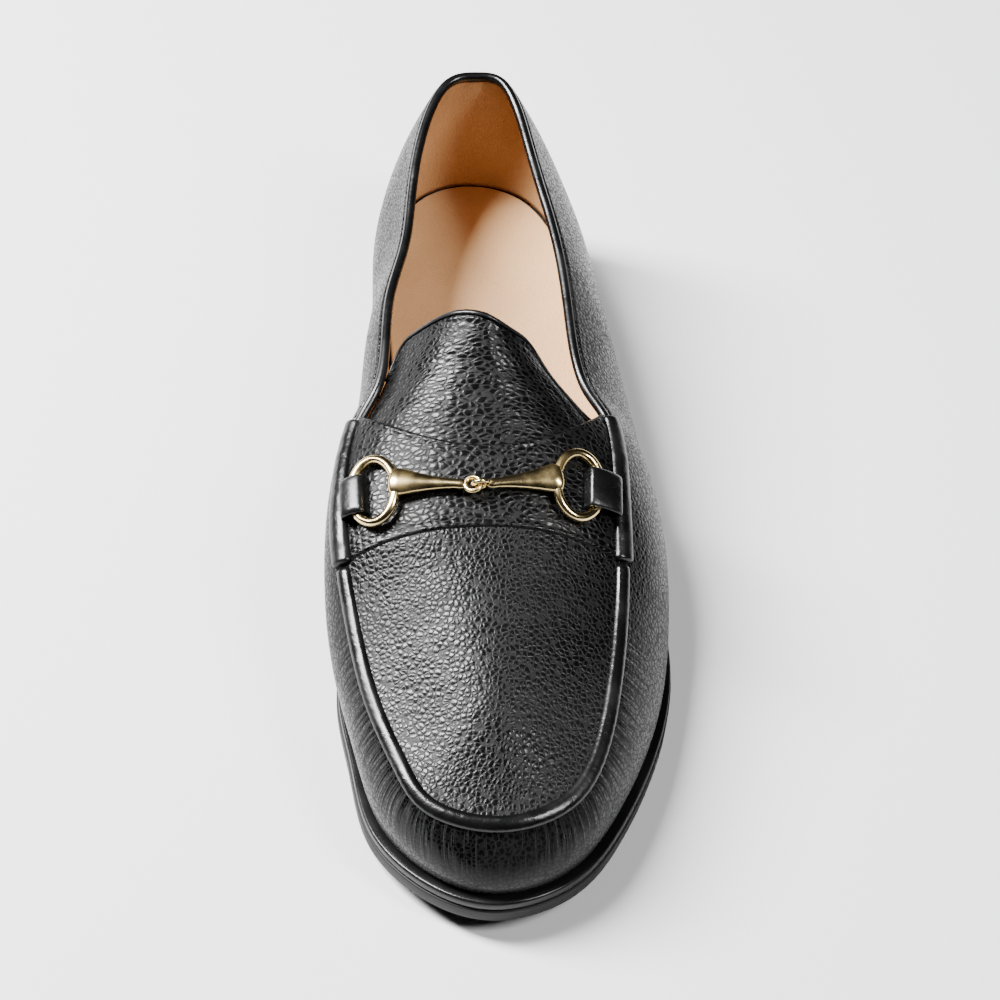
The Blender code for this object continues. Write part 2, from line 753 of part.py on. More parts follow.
def make_tongue():
    def top(t):
        places = column(tongue_columns, tongue_rows, "across")
        return open_curve(places, column(tongue_columns, tongue_rows, "along"), t)[0]

    def foot(t):
        return throat_place + tongue_tuck + 0 * t

    def edge(way):
        return q_away(way, np.full(way.shape, -tongue_side_tuck))

    way, q = over_grid(tongue_steps_across, top, foot, tongue_steps, edge)
    depth = wall + tongue_gap
    upper_side = raised(way, q, np.full(way.shape, -depth))
    under_side = raised(way, q, np.full(way.shape, -depth - tongue_thick))
    finish(add_object("tongue", *slab(upper_side, under_side), leather_colour, 0.4))
    middle = (upper_side[0] + under_side[0]) / 2
    normal = upper_side[0] - under_side[0]
    normal = normal / np.linalg.norm(normal, axis=-1, keepdims=True)
    away = upper_side[0] - upper_side[1]
    along = np.gradient(middle, axis=0)
    along = along / np.linalg.norm(along, axis=-1, keepdims=True)
    away = away - along * (away * along).sum(-1, keepdims=True)
    away = away - normal * (away * normal).sum(-1, keepdims=True)
    away = away / np.linalg.norm(away, axis=-1, keepdims=True)
    keep = slice(tongue_bead_skip_columns, len(middle) - tongue_bead_skip_columns)
    points = []
    for side, rise in binding_profile:
        points.append((middle + normal * side * (tongue_thick + tongue_bead_lip)
                       + away * (fit_gap + rise * tongue_bead_height))[keep])
    bead = tube(np.stack(points, 1), False)
    finish(add_object("tongue_binding", *bead, gloss_colour, 0.3))


def strap_edge(roll_place, centre_place):
    def edge(t):
        return centre_place + (roll_place - centre_place) * np.abs(t) ** strap_flare
    return edge


def make_strap():
    def edge(way):
        return q_away(way, np.full(way.shape, roll_width / 2 + fit_gap))

    top = strap_edge(strap_top_roll, strap_top_centre)
    foot = strap_edge(strap_foot_roll, strap_foot_centre)
    way, q = over_grid(strap_across, top, foot, strap_rows, edge)
    under_side = raised(way, q, np.full(way.shape, fit_gap))
    upper_side = raised(way, q, np.full(way.shape, fit_gap + strap_thick))
    finish(add_object("saddle_strap", *slab(upper_side, under_side), leather_colour, 0.4))


# The bit
def circle(centre, side, up, radius, count):
    turn = np.arange(count) / count * 2 * math.pi
    return centre + radius * (np.cos(turn)[:, None] * side + np.sin(turn)[:, None] * up)


def ring(centre, side, up, half_side, half_up, minor, segments):
    # a round wire bent to an oval: half_side and half_up reach to the wire's middle
    normal = np.cross(side, up)
    sections = []
    for turn in np.arange(segments) / segments * 2 * math.pi:
        spot = centre + half_side * math.cos(turn) * side + half_up * math.sin(turn) * up
        facing = half_up * math.cos(turn) * side + half_side * math.sin(turn) * up
        sections.append(circle(spot, facing / np.linalg.norm(facing), normal, minor, wire_sides))
    return tube(np.array(sections), True)


def add_bit_piece(name, verts, faces):
    # meshed in millimetres and scaled down, so that the fine joins stay exact
    obj = finish(add_object(name, np.asarray(verts) / mm, faces, gold_colour, 0.2, 1.0))
    obj.scale = (mm, mm, mm)
    return obj


def hide_helper(obj):
    obj.hide_render = True
    obj.display_type = "WIRE"
    return obj


def combine(obj, other, operation):
    modifier = obj.modifiers.new(operation.lower(), "BOOLEAN")
    modifier.operation = operation
    modifier.solver = "EXACT"
    modifier.object = other


def ring_room(side):
    return ring_room_lateral if side > 0 else ring_room_medial


def bit_frame(side):
    # ring centre and axes: x towards the middle of the shoe, z off the leather
    way = way_at(np.array([ring_place]), side)
    reach = roll_width / 2 + ring_room(side) + ring_across / 2
    q = q_away(way, np.array([reach]))
    tip_q = q_away(way, np.array([reach - ring_tip]))
    lift = fit_gap + strap_thick + ring_lift + ring_wire / 2
    centre = raised(way, q, np.array([lift]))[0]
    normal = skin_normal(way, tip_q)[0]
    along = np.array([0, -1.0, 0])
    along = along - normal * (along @ normal)
    along = along / np.linalg.norm(along)
    inward = np.cross(along, normal)
    if inward[0] * side > 0:
        inward = -inward
    return centre, inward, along, normal


def skin_height(x, along):
    # height of the instep at x, on the cross line that lies that far along
    ridge = skin(way_at(np.array([along]), 1), np.array([2.0]))[0]
    side = 1 if x > ridge[0] else -1
    q = np.linspace(1, 2, height_samples)
    line = skin(way_at(np.full(q.shape, along), side), q)
    return np.interp(side * -x, side * -line[:, 0], line[:, 2])


def bit_middle(starts):
    # the joint of the bars, as high as it takes for both straight bars to clear the strap
    x = (starts[0][0] + starts[1][0]) / 2
    y = -bit_centre_place * sole_length
    lowest = skin_height(x, bit_centre_place) + fit_gap + strap_thick + bit_lift
    shares = [row[0] for row in bar_profile]
    thicks = [row[2] * bar_end_thick / 2 for row in bar_profile]
    for start in starts:
        for share in np.linspace(bar_check_from, 1, bar_checks):
            over = skin_height(start[0] + (x - start[0]) * share,
                               ring_place + (bit_centre_place - ring_place) * share)
            need = over + fit_gap + strap_thick + bit_clearance + np.interp(share, shares, thicks)
            lowest = max(lowest, (need - start[2] * (1 - share)) / share)
    return np.array([x, y, lowest])


def make_bit():
    half_side = (ring_across - ring_wire) / 2
    half_up = (ring_along - ring_wire) / 2
    eye_major = (eye_outer - eye_wire) / 2
    frames = {side: bit_frame(side) for side in (1, -1)}
    starts = [frame[0] + frame[1] * half_side for frame in frames.values()]
    middle = bit_middle(starts)
    for name, side in (("lateral", 1), ("medial", -1)):
        centre, inward, along, normal = frames[side]
        solid = ring(centre, inward, along, half_side, half_up, ring_wire / 2, ring_segments)
        finish(add_object("bit_ring_" + name, *solid, gold_colour, 0.2, 1.0))
        start = centre + inward * half_side
        eye = middle + np.array([side * eye_major / 2, 0, 0])
        axis = eye - start
        length = np.linalg.norm(axis)
        axis = axis / length
        wide = along - axis * (along @ axis)
        wide = wide / np.linalg.norm(wide)
        thin = np.cross(axis, wide)
        sections = []
        for share, half_width, half_thick in bar_profile:
            spot = start + axis * share * (length - eye_major)
            turn = (np.arange(bar_sides) + 0.5) / bar_sides * 2 * math.pi
            sections.append(spot + np.cos(turn)[:, None] * wide * half_width * bar_end_width / 2
                            + np.sin(turn)[:, None] * thin * half_thick * bar_end_thick / 2)
        bar = add_bit_piece("bit_bar_" + name, *tube(np.array(sections), False))
        barrel = np.array([circle(start + along * k * knuckle_length / 2, inward, normal,
                                  bar_end_thick / 2, knuckle_sides) for k in (-1, 1)])
        knuckle = add_bit_piece("knuckle_" + name, *tube(barrel, False))
        up = wide if side < 0 else thin
        loop = add_bit_piece("eye_" + name,
                             *ring(eye, axis, up, eye_major, eye_major, eye_wire / 2, eye_segments))
        room = ring(centre, inward, along, half_side, half_up, ring_wire / 2 + bit_clearance, ring_segments)
        tunnel = add_bit_piece("tunnel_" + name, *room)
        combine(bar, knuckle, "UNION")
        combine(bar, loop, "UNION")
        combine(bar, tunnel, "DIFFERENCE")
        for helper in (knuckle, loop, tunnel):
            hide_helper(helper)


def make_keepers():
    # a leather loop over the outer side of each ring, between the roll and the ring's hole
    half = keeper_width / 2 / sole_length
    for name, side in (("ring_keeper_lateral", 1), ("ring_keeper_medial", -1)):
        along = np.linspace(ring_place - half, ring_place + half, keeper_rows + 1)
        way = way_at(along, side)
        base = fit_gap + strap_thick + fit_gap
        rows_top = []
        rows_foot = []
        for past, inner_reach, inner_rise, outer_reach, outer_rise in keeper_profile:
            edge = roll_width / 2 + fit_gap + past * ring_room(side)
            foot_q = q_away(way, np.full(way.shape, edge + inner_reach))
            top_q = q_away(way, np.full(way.shape, edge + outer_reach))
            rows_foot.append(raised(way, foot_q, np.full(way.shape, base + inner_rise)))
            rows_top.append(raised(way, top_q, np.full(way.shape, base + outer_rise)))
        keeper = slab(np.array(rows_top), np.array(rows_foot))
        finish(add_object(name, *keeper, leather_colour, 0.35))


def centre_on_floor():
    pieces = [o for o in bpy.data.objects]
    shown = [o for o in pieces if not o.hide_render]
    spots = np.concatenate([np.array([v.co for v in o.data.vertices]) * o.scale[0] for o in shown])
    middle = (spots.min(0) + spots.max(0)) / 2
    for o in pieces:
        o.location = (-middle[0], -middle[1], 0)


for old in list(bpy.data.objects):
    bpy.data.objects.remove(old, do_unlink=True)
make_heel()
make_outsole()
make_welt()
make_insole()
make_upper()
make_tongue()
make_strap()
make_seam_bead()
make_rolls()
make_collar_binding()
make_keepers()
make_bit()
centre_on_floor()
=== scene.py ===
import math
import bmesh
import bpy
import numpy as np
from mathutils import Matrix, Vector


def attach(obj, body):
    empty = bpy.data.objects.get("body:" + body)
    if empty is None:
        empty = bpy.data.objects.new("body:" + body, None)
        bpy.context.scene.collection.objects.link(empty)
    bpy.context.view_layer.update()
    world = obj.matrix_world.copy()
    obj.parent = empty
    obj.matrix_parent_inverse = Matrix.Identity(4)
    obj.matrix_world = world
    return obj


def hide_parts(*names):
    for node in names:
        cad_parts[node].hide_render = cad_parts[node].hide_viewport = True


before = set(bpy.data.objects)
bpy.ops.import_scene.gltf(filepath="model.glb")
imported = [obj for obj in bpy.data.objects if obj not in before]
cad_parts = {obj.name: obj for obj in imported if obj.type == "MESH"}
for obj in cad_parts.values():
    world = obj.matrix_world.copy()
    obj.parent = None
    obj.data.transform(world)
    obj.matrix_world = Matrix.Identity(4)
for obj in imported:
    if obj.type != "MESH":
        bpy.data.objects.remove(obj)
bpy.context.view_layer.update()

# A left bit loafer: the leather, the trim and the metal are laid over the plain solids.
# Toe to -Y, heel to +Y, outer side to +X, floor at z = 0, sizes in metres.
mm = 0.001

# form
shoe = {"soleLength": 300 * mm, "ballWidth": 108 * mm, "backHeight": 86 * mm,
        "instepHeight": 101 * mm, "heelHeight": 20 * mm, "toeSpring": 8 * mm,
        "shift": (-2.457 * mm, 150 * mm, 0.0), "spineEnd": 0.82, "fanStart": 0.66,
        "wallFullness": 0.38, "steepestStart": 2.7}

# share of the length, half widths either side, how far the sole shows
outline = {
    "along":    (0.000, 0.022, 0.100, 0.220, 0.340, 0.450, 0.515, 0.600, 0.695, 0.805, 0.905, 0.975, 1.000),
    "lateral":  (0.000, 0.180, 0.312, 0.354, 0.408, 0.462, 0.488, 0.522, 0.534, 0.462, 0.332,
                 0.173, -0.033),
    "medial":   (0.000, -0.180, -0.310, -0.332, -0.318, -0.338, -0.354, -0.398, -0.468, -0.438, -0.379,
                 -0.221, -0.033),
    "lateralEdge": (2.5, 2.5, 2.5, 2.5, 2.8, 3.2, 3.8, 4.8, 5.4, 5.4, 5.2, 5.0, 5.0),
    "medialEdge":  (2.5, 2.5, 2.5, 2.2, 1.8, 2.0, 2.4, 3.2, 4.2, 4.8, 5.2, 5.0, 5.0)}
# the top line: collar round the back, apron seam round the toe
line = {
    "along":    (0.024, 0.038, 0.127, 0.240, 0.340, 0.446, 0.490, 0.587, 0.677, 0.797, 0.883, 0.931, 0.949),
    "lateral":  (0.000, 0.088, 0.158, 0.217, 0.243, 0.281, 0.342, 0.358, 0.352, 0.307, 0.239,
                 0.133, -0.032),
    "medial":   (0.000, -0.098, -0.194, -0.237, -0.296, -0.333, -0.400, -0.448, -0.436, -0.376, -0.292,
                 -0.203, -0.032),
    "lateralHeight": (1.003, 0.996, 0.925, 0.850, 0.790, 0.735, 0.706, 0.658, 0.562, 0.490,
                      0.447, 0.436, 0.435),
    "medialHeight":  (1.003, 0.994, 0.916, 0.826, 0.808, 0.760, 0.696, 0.636, 0.561, 0.478,
                      0.446, 0.434, 0.435)}
# the wall's lean out at the sole and in at the top line, in degrees
leans = {
    "lateralOut": (12, 15, 20, 32, 35, 33, 30, 28, 20, 22, 22, 20, 20),
    "medialOut":  (12, 15, 13, 18, 26, 25, 20, 17, 18, 20, 20, 20, 20),
    "lateralIn":  (13, 27, 28, 39, 44, 47, 45, 51, 48, 50, 50, 50, 50),
    "medialIn":   (13, 23, 16, 21, 32, 36, 35, 38, 44, 48, 50, 50, 50),
    "crease":     (0, 0, 0, 0, 0, 0, 0, 0, 10, 20, 26, 28, 28)}
ridge = {
    "along":  (0.400, 0.480, 0.560, 0.650, 0.730, 0.820),
    "across": (-0.022, -0.026, -0.030, -0.034, -0.036, -0.034),
    "height": (0.990, 0.840, 0.730, 0.638, 0.572, 0.500)}
under = {
    "along":  (0.000, 0.150, 0.260, 0.400, 0.500, 0.590, 0.750, 0.860, 1.000),
    "heel":   (1.000, 0.985, 0.900, 0.480, 0.150, 0.000, 0.000, 0.000, 0.000),
    "spring": (0.000, 0.000, 0.000, 0.000, 0.000, 0.000, 0.000, 0.260, 1.000)}


def unit(vectors):
    return vectors / np.linalg.norm(vectors, axis=-1, keepdims=True)


def stepsCurve(places, values, at):
    # cubic that keeps between its values and stays flat where they are flat
    places, values = np.array(places, float), np.array(values, float)
    widths = np.diff(places)
    slopes = np.diff(values) / widths
    ends = np.zeros(len(values))
    for i in range(1, len(values) - 1):
        if slopes[i - 1] * slopes[i] > 0:
            ends[i] = 2 * slopes[i - 1] * slopes[i] / (slopes[i - 1] + slopes[i])
    ends[0], ends[-1] = slopes[0], slopes[-1]
    at = np.clip(at, places[0], places[-1])
    k = np.clip(np.searchsorted(places, at, side="right") - 1, 0, len(widths) - 1)
    t = (at - places[k]) / widths[k]
    rise = (2 * t - 3) * t * t
    return (values[k] * (1 + rise) - values[k + 1] * rise
            + widths[k] * (ends[k] * t * (1 - t) ** 2 - ends[k + 1] * t * t * (1 - t)))


def bends(places, values, closed):
    # second derivatives of the smooth curve through the values
    n = len(values)
    if closed:
        width = np.mod(np.roll(places, -1) - places, 1.0)
        slope = (np.roll(values, -1) - values) / width
        matrix = np.zeros((n, n))
        spot = np.arange(n)
        matrix[spot, spot] = 2 * (np.roll(width, 1) + width)
        matrix[spot, spot - 1] += np.roll(width, 1)
        matrix[spot, (spot + 1) % n] += width
        right = 6 * (slope - np.roll(slope, 1))
    else:
        width = np.diff(places)
        slope = np.diff(values) / width
        matrix = np.eye(n)
        right = np.zeros(n)
        for i in range(1, n - 1):
            matrix[i, i - 1:i + 2] = (width[i - 1], 2 * (width[i - 1] + width[i]), width[i])
            right[i] = 6 * (slope[i] - slope[i - 1])
    return width, slope, np.linalg.solve(matrix, right)


def loopCurve(knots, values, at):
    # smooth closed curve through the values over one turn
    width, slope, bend = bends(knots, values, True)
    at = np.mod(at, 1.0)
    k = np.searchsorted(knots, at, side="right") - 1
    after = (k + 1) % len(knots)
    t = at - knots[k]
    return (values[k] + t * (slope[k] - width[k] * (2 * bend[k] + bend[after]) / 6)
            + t ** 2 * bend[k] / 2 + t ** 3 * (bend[after] - bend[k]) / (6 * width[k]))


def openCurve(places, values, at):
    # smooth curve through the values, carried on straight past both ends
    places, values = np.array(places, float), np.array(values, float)
    width, slope, bend = bends(places, values, False)
    inside = np.clip(at, places[0], places[-1])
    k = np.clip(np.searchsorted(places, inside, side="right") - 1, 0, len(places) - 2)
    t, w = inside - places[k], width[k]
    first = slope[k] - w * (2 * bend[k] + bend[k + 1]) / 6
    value = values[k] + t * first + t ** 2 * bend[k] / 2 + t ** 3 * (bend[k + 1] - bend[k]) / (6 * w)
    tilt = first + t * bend[k] + t ** 2 * (bend[k + 1] - bend[k]) / (2 * w)
    return value + tilt * (at - inside), tilt


def loopKnots():
    # way 0 at the heel's back, 0.5 at the toe's tip by the outer side, then back by the inner side
    along = np.array(outline["along"]) * shoe["soleLength"]
    across = (np.array(outline["lateral"]) - np.array(outline["medial"])) * shoe["ballWidth"] / 2
    reach = np.concatenate([[0], np.cumsum(np.hypot(np.diff(along), np.diff(across)))])
    ways = reach / reach[-1]
    return np.concatenate([ways / 2, 1 - ways[-2:0:-1] / 2])


knots = loopKnots()


def roundShoe(table, lateral, medial, way):
    outer, inner = np.array(table[lateral], float), np.array(table[medial], float)
    return loopCurve(knots, np.concatenate([outer, inner[-2:0:-1]]), way)


def normalOf(points, way):
    # outward normal in plan of a closed curve given as a function of the way
    small = 1e-4
    tangent = (points(way + small) - points(way - small))[..., :2]
    normal = np.stack([-tangent[..., 1], tangent[..., 0]], -1)
    return unit(normal)


def soleEdge(way):
    x = shoe["ballWidth"] * roundShoe(outline, "lateral", "medial", way)
    y = -shoe["soleLength"] * roundShoe(outline, "along", "along", way)
    return np.stack([x, y], -1)


def solePlan(way, inset=0.0):
    return soleEdge(way) - normalOf(soleEdge, way) * (np.zeros(np.shape(way)) + inset)[..., None]


def edgeMargin(way):
    return roundShoe(outline, "lateralEdge", "medialEdge", way) * mm


def underside(y):
    along = -y / shoe["soleLength"]
    return (shoe["heelHeight"] * stepsCurve(under["along"], under["heel"], along)
            + shoe["toeSpring"] * stepsCurve(under["along"], under["spring"], along))


layers = {"outsole": 5 * mm, "welt": 3.5 * mm, "insole": 5 * mm, "lift": 6 * mm, "gap": 0.3 * mm,
          "wall": 2 * mm}


def weltTop(y):
    return underside(y) + layers["outsole"] + layers["gap"] + layers["welt"]


def topLine(way):
    x = shoe["ballWidth"] * roundShoe(line, "lateral", "medial", way)
    y = -shoe["soleLength"] * roundShoe(line, "along", "along", way)
    z = shoe["backHeight"] * roundShoe(line, "lateralHeight", "medialHeight", way)
    return np.stack([x, y, z], -1)


def alongOfLine(way):
    return roundShoe(line, "along", "along", way)


denseWays = np.linspace(0, 0.5, 2001)
denseAlong = alongOfLine(denseWays)


def wayAt(along, side):
    lateral = np.interp(along, denseAlong, denseWays)
    return np.where(np.asarray(side) > 0, lateral, 1 - lateral)


def spine(along):
    height, tilt = openCurve(ridge["along"], ridge["height"], along)
    across, _ = openCurve(ridge["along"], ridge["across"], along)
    point = np.stack([across * shoe["ballWidth"], -along * shoe["soleLength"],
                      height * shoe["instepHeight"]], -1)
    return point, tilt * shoe["instepHeight"] / shoe["soleLength"]


def spinePlace(along):
    last, begin, end = line["along"][-1], shoe["fanStart"], shoe["spineEnd"]
    share = np.clip((along - begin) / (last - begin), 0, 1)
    gain = (last - begin) / (end - begin)
    return np.where(along < begin, along, begin + (end - begin) * (gain * share + (1 - gain) * share ** 2))


def band(way, q):
    # the wall: one cubic arc from the welt (q 0) to the top line (q 1)
    plan = solePlan(way, edgeMargin(way))
    low = np.concatenate([plan, (weltTop(soleEdge(way)[..., 1]) + layers["gap"])[..., None]], -1)
    high = topLine(way)
    out = np.radians(roundShoe(leans, "lateralOut", "medialOut", way))[..., None]
    inward = np.radians(roundShoe(leans, "lateralIn", "medialIn", way))[..., None]
    reach = np.linalg.norm(high - low, axis=-1, keepdims=True) * shoe["wallFullness"]
    start = np.concatenate([normalOf(soleEdge, way) * np.sin(out), np.cos(out)], -1)
    end = np.concatenate([normalOf(topLine, way) * np.sin(inward), -np.cos(inward)], -1)
    t = np.asarray(q)[..., None]
    return (low * (1 - t) ** 3 + 3 * (low + start * reach) * t * (1 - t) ** 2
            + 3 * (high + end * reach) * t * t * (1 - t) + high * t ** 3)


def patch(way, w):
    # apron and instep: a cubic rise from the top line (w 0) to the ridge (w 1)
    low = topLine(way)
    top, tilt = spine(spinePlace(alongOfLine(way)))
    length = np.linalg.norm((top - low)[..., :2], axis=-1)
    climb = top[..., 2] - low[..., 2]
    inward = np.radians(roundShoe(leans, "lateralIn", "medialIn", way)
                        + roundShoe(leans, "crease", "crease", way))
    start = np.minimum(length / np.tan(inward), shoe["steepestStart"] * climb)
    end = tilt * (low[..., 1] - top[..., 1])
    z = (low[..., 2] * (1 - w) ** 2 * (1 + 2 * w) + top[..., 2] * w * w * (3 - 2 * w)
         + start * w * (1 - w) ** 2 - end * w * w * (1 - w))
    plan = low[..., :2] * (1 - w)[..., None] + top[..., :2] * w[..., None]
    return np.concatenate([plan, z[..., None]], -1)


def skin(way, q):
    way, q = np.broadcast_arrays(np.asarray(way, float), np.asarray(q, float))
    return np.where((q > 1)[..., None], patch(way, np.clip(q - 1, 0, 1)), band(way, np.clip(q, 0, 1)))


def skinNormal(way, q):
    way, q = np.broadcast_arrays(np.asarray(way, float), np.asarray(q, float))
    small = 1e-3

    def crossed(lowest, highest):
        middle = np.clip(q, lowest + small, highest - small)
        up = skin(way, middle + small) - skin(way, middle - small)
        found = np.cross(up, skin(way + small, middle) - skin(way - small, middle))
        return unit(found)

    share = np.clip((q - 0.98) / 0.04, 0, 1)[..., None]
    mixed = crossed(0, 1) * (1 - share) + crossed(1 + 1e-9, 2) * share
    return unit(mixed)


def raised(way, q, height):
    return skin(way, q) + skinNormal(way, q) * np.asarray(height)[..., None]


def qAway(way, distance):
    # q at a distance across the surface from the top line, positive towards the apron
    step = 0.02
    up = np.linalg.norm(skin(way, 1 + step) - skin(way, 1 + 1e-9), axis=-1) / step
    down = np.linalg.norm(skin(way, 1.0) - skin(way, 1 - step), axis=-1) / step
    return 1 + np.where(distance > 0, distance / up, distance / down)


def smooth(a, b, x):
    t = np.clip((x - a) / (b - a), 0, 1)
    return t * t * (3 - 2 * t)


def wavy(x, seed, count=6):
    # a slow irregular wave between about -1 and 1, a sum of sines with fixed phases
    chance = np.random.default_rng(seed)
    rate = chance.uniform(0.6, 2.4, count)
    phase = chance.uniform(0, 2 * math.pi, count)
    return np.sin(np.asarray(x)[..., None] * rate + phase).sum(-1) / math.sqrt(count * 2)


# meshes
def newPiece(name, verts, faces, material, lie=None, nodes=()):
    # verts in the un-centred form; faces an integer array or a list; lie is a UV for each vertex
    verts = np.asarray(verts, float).reshape(-1, 3) + shoe["shift"]
    mesh = bpy.data.meshes.new(name)
    mesh.from_pydata(verts, [], [tuple(int(v) for v in f) for f in faces])
    mesh.update()
    if lie is not None:
        layer = mesh.uv_layers.new(name="lie")
        corners = np.empty(len(mesh.loops), int)
        mesh.loops.foreach_get("vertex_index", corners)
        layer.data.foreach_set("uv", np.asarray(lie, float).reshape(-1, 2)[corners].ravel())
    mesh.polygons.foreach_set("use_smooth", np.ones(len(mesh.polygons), bool))
    mesh.materials.append(material)
    obj = bpy.data.objects.new(name, mesh)
    bpy.context.scene.collection.objects.link(obj)
    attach(obj, "root")
    for node in nodes:
        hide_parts(node)
    return obj


def gridFaces(rows, columns, closeRows=False, closeColumns=False, first=0):
    # quads over a grid of vertices
    i = np.arange(rows if closeRows else rows - 1)[:, None]
    j = np.arange(columns if closeColumns else columns - 1)[None]
    i2, j2 = (i + 1) % rows, (j + 1) % columns
    return (np.stack([i * columns + j, i * columns + j2, i2 * columns + j2, i2 * columns + j], -1)
            .reshape(-1, 4) + first)


def tube(sections, closed=False):
    # closed rings of points carried along a path; open ends are closed with a fan
    stations, points = sections.shape[:2]
    faces = [tuple(f) for f in gridFaces(stations, points, closeRows=closed, closeColumns=True)]
    verts = sections.reshape(-1, 3)
    if not closed:
        count = len(verts)
        verts = np.concatenate([verts, sections[[0, -1]].mean(1)])
        turn = np.arange(points)
        faces += [(count, b, a) for a, b in zip(turn, np.roll(turn, -1))]
        last = (stations - 1) * points
        faces += [(count + 1, last + a, last + b) for a, b in zip(turn, np.roll(turn, -1))]
    return verts, faces


def slab(top, bottom):
    # a closed plate between two grids
    rows, columns = top.shape[:2]
    count = rows * columns
    upper = np.arange(count).reshape(rows, columns)
    faces = [tuple(f) for f in gridFaces(rows, columns)]
    faces += [tuple(f[::-1] + count) for f in gridFaces(rows, columns)]
    rim = np.concatenate([upper[0, :-1], upper[:-1, -1], upper[-1, :0:-1], upper[:0:-1, 0]])
    faces += [(b, a, a + count, b + count) for a, b in zip(rim, np.roll(rim, -1))]
    return np.concatenate([top.reshape(-1, 3), bottom.reshape(-1, 3)]), faces


def stack(loops):
    # a solid of closed loops one over another, both ends closed by strips straight across
    loops = np.array(loops)
    levels, count = loops.shape[:2]
    faces = [tuple(f) for f in gridFaces(levels, count, closeColumns=True)]
    for start, turned in ((0, True), ((levels - 1) * count, False)):
        for j in range(count // 2):
            corners = [j, j + 1, count - j - 1, (count - j) % count]
            corners = [start + v for k, v in enumerate(corners) if v != corners[k - 1]]
            faces.append(tuple(corners[::-1] if turned else corners))
    return loops.reshape(-1, 3), faces


def outward(obj):
    # welds the piece and turns its faces outwards
    work = bmesh.new()
    work.from_mesh(obj.data)
    bmesh.ops.remove_doubles(work, verts=work.verts, dist=1e-7)
    bmesh.ops.recalc_face_normals(work, faces=work.faces)
    work.to_mesh(obj.data)
    work.free()
    return obj


def solid(name, shape, material, node=None):
    # a closed piece from its vertices and faces; node is the plain solid it stands for
    return outward(newPiece(name, *shape, material, nodes=[node] if node else []))


def withHeight(plan, height):
    return np.concatenate([plan, (np.zeros(plan.shape[:-1]) + height)[..., None]], -1)


def addStitches(name, middles, directions, normals, size, material):
    # a rounded thread for each stitch: an ellipsoid-ended bar that dives into the leather at both ends
    rows, sides = 7, 8
    s = np.linspace(-1, 1, rows)
    swell = np.sqrt(np.clip(1 - s ** 4, 0.02, 1))
    turn = np.arange(sides) / sides * 2 * math.pi
    side = np.cross(directions, normals)
    along = directions[:, None, None] * (s[:, None, None] * size["long"] / 2)
    sink = normals[:, None, None] * (-(s ** 4)[:, None, None] * size["thick"] * 0.6)
    ring = (side[:, None, None] * (np.cos(turn)[:, None] * swell[:, None, None])
            + normals[:, None, None] * (np.sin(turn)[:, None] * swell[:, None, None])) * size["thick"] / 2
    verts = middles[:, None, None] + along + sink + ring
    one = np.concatenate([gridFaces(rows, sides, closeColumns=True)])
    faces = (one[None] + (np.arange(len(middles)) * rows * sides)[:, None, None]).reshape(-1, 4)
    ends = np.arange(sides)
    caps = [tuple(k * rows * sides + ends[::-1]) for k in range(len(middles))]
    caps += [tuple((k + 1) * rows * sides - sides + ends) for k in range(len(middles))]
    return outward(newPiece(name, verts.reshape(-1, 3), [tuple(f) for f in faces] + caps, material))


# materials
def nodeGroup(name, inputs, outputs):
    group = bpy.data.node_groups.new(name, "ShaderNodeTree")
    for label, kind, value in inputs:
        socket = group.interface.new_socket(name=label, in_out="INPUT", socket_type=kind)
        if value is not None:
            socket.default_value = value
    for label, kind in outputs:
        group.interface.new_socket(name=label, in_out="OUTPUT", socket_type=kind)
    return group, group.nodes.new("NodeGroupInput"), group.nodes.new("NodeGroupOutput")


def addNode(tree, kind, settings=None, **values):
    node = tree.nodes.new("ShaderNode" + kind)
    for key, value in (settings or {}).items():
        setattr(node, key, value)
    for key, value in values.items():
        put(tree, value, node.inputs[key.replace("_", " ")])
    return node


def put(tree, value, socket):
    # a link if the value is a socket, otherwise a plain number or colour
    if isinstance(value, bpy.types.NodeSocket):
        tree.links.new(value, socket)
    else:
        socket.default_value = value


def mathNode(tree, operation, a, b=0.0, c=0.0):
    node = tree.nodes.new("ShaderNodeMath")
    node.operation = operation
    for k, value in enumerate((a, b, c)):
        put(tree, value, node.inputs[k])
    return node.outputs[0]


def times(tree, a, b):
    return mathNode(tree, "MULTIPLY", a, b)


def timesPlus(tree, a, b, c):
    # a times b, plus c
    return mathNode(tree, "MULTIPLY_ADD", a, b, c)


def mapRange(tree, value, low, high, outLow=0.0, outHigh=1.0):
    node = tree.nodes.new("ShaderNodeMapRange")
    node.interpolation_type = "SMOOTHSTEP"
    for key, v in (("Value", value), ("From Min", low), ("From Max", high), ("To Min", outLow),
                   ("To Max", outHigh)):
        put(tree, v, node.inputs[key])
    return node.outputs["Result"]


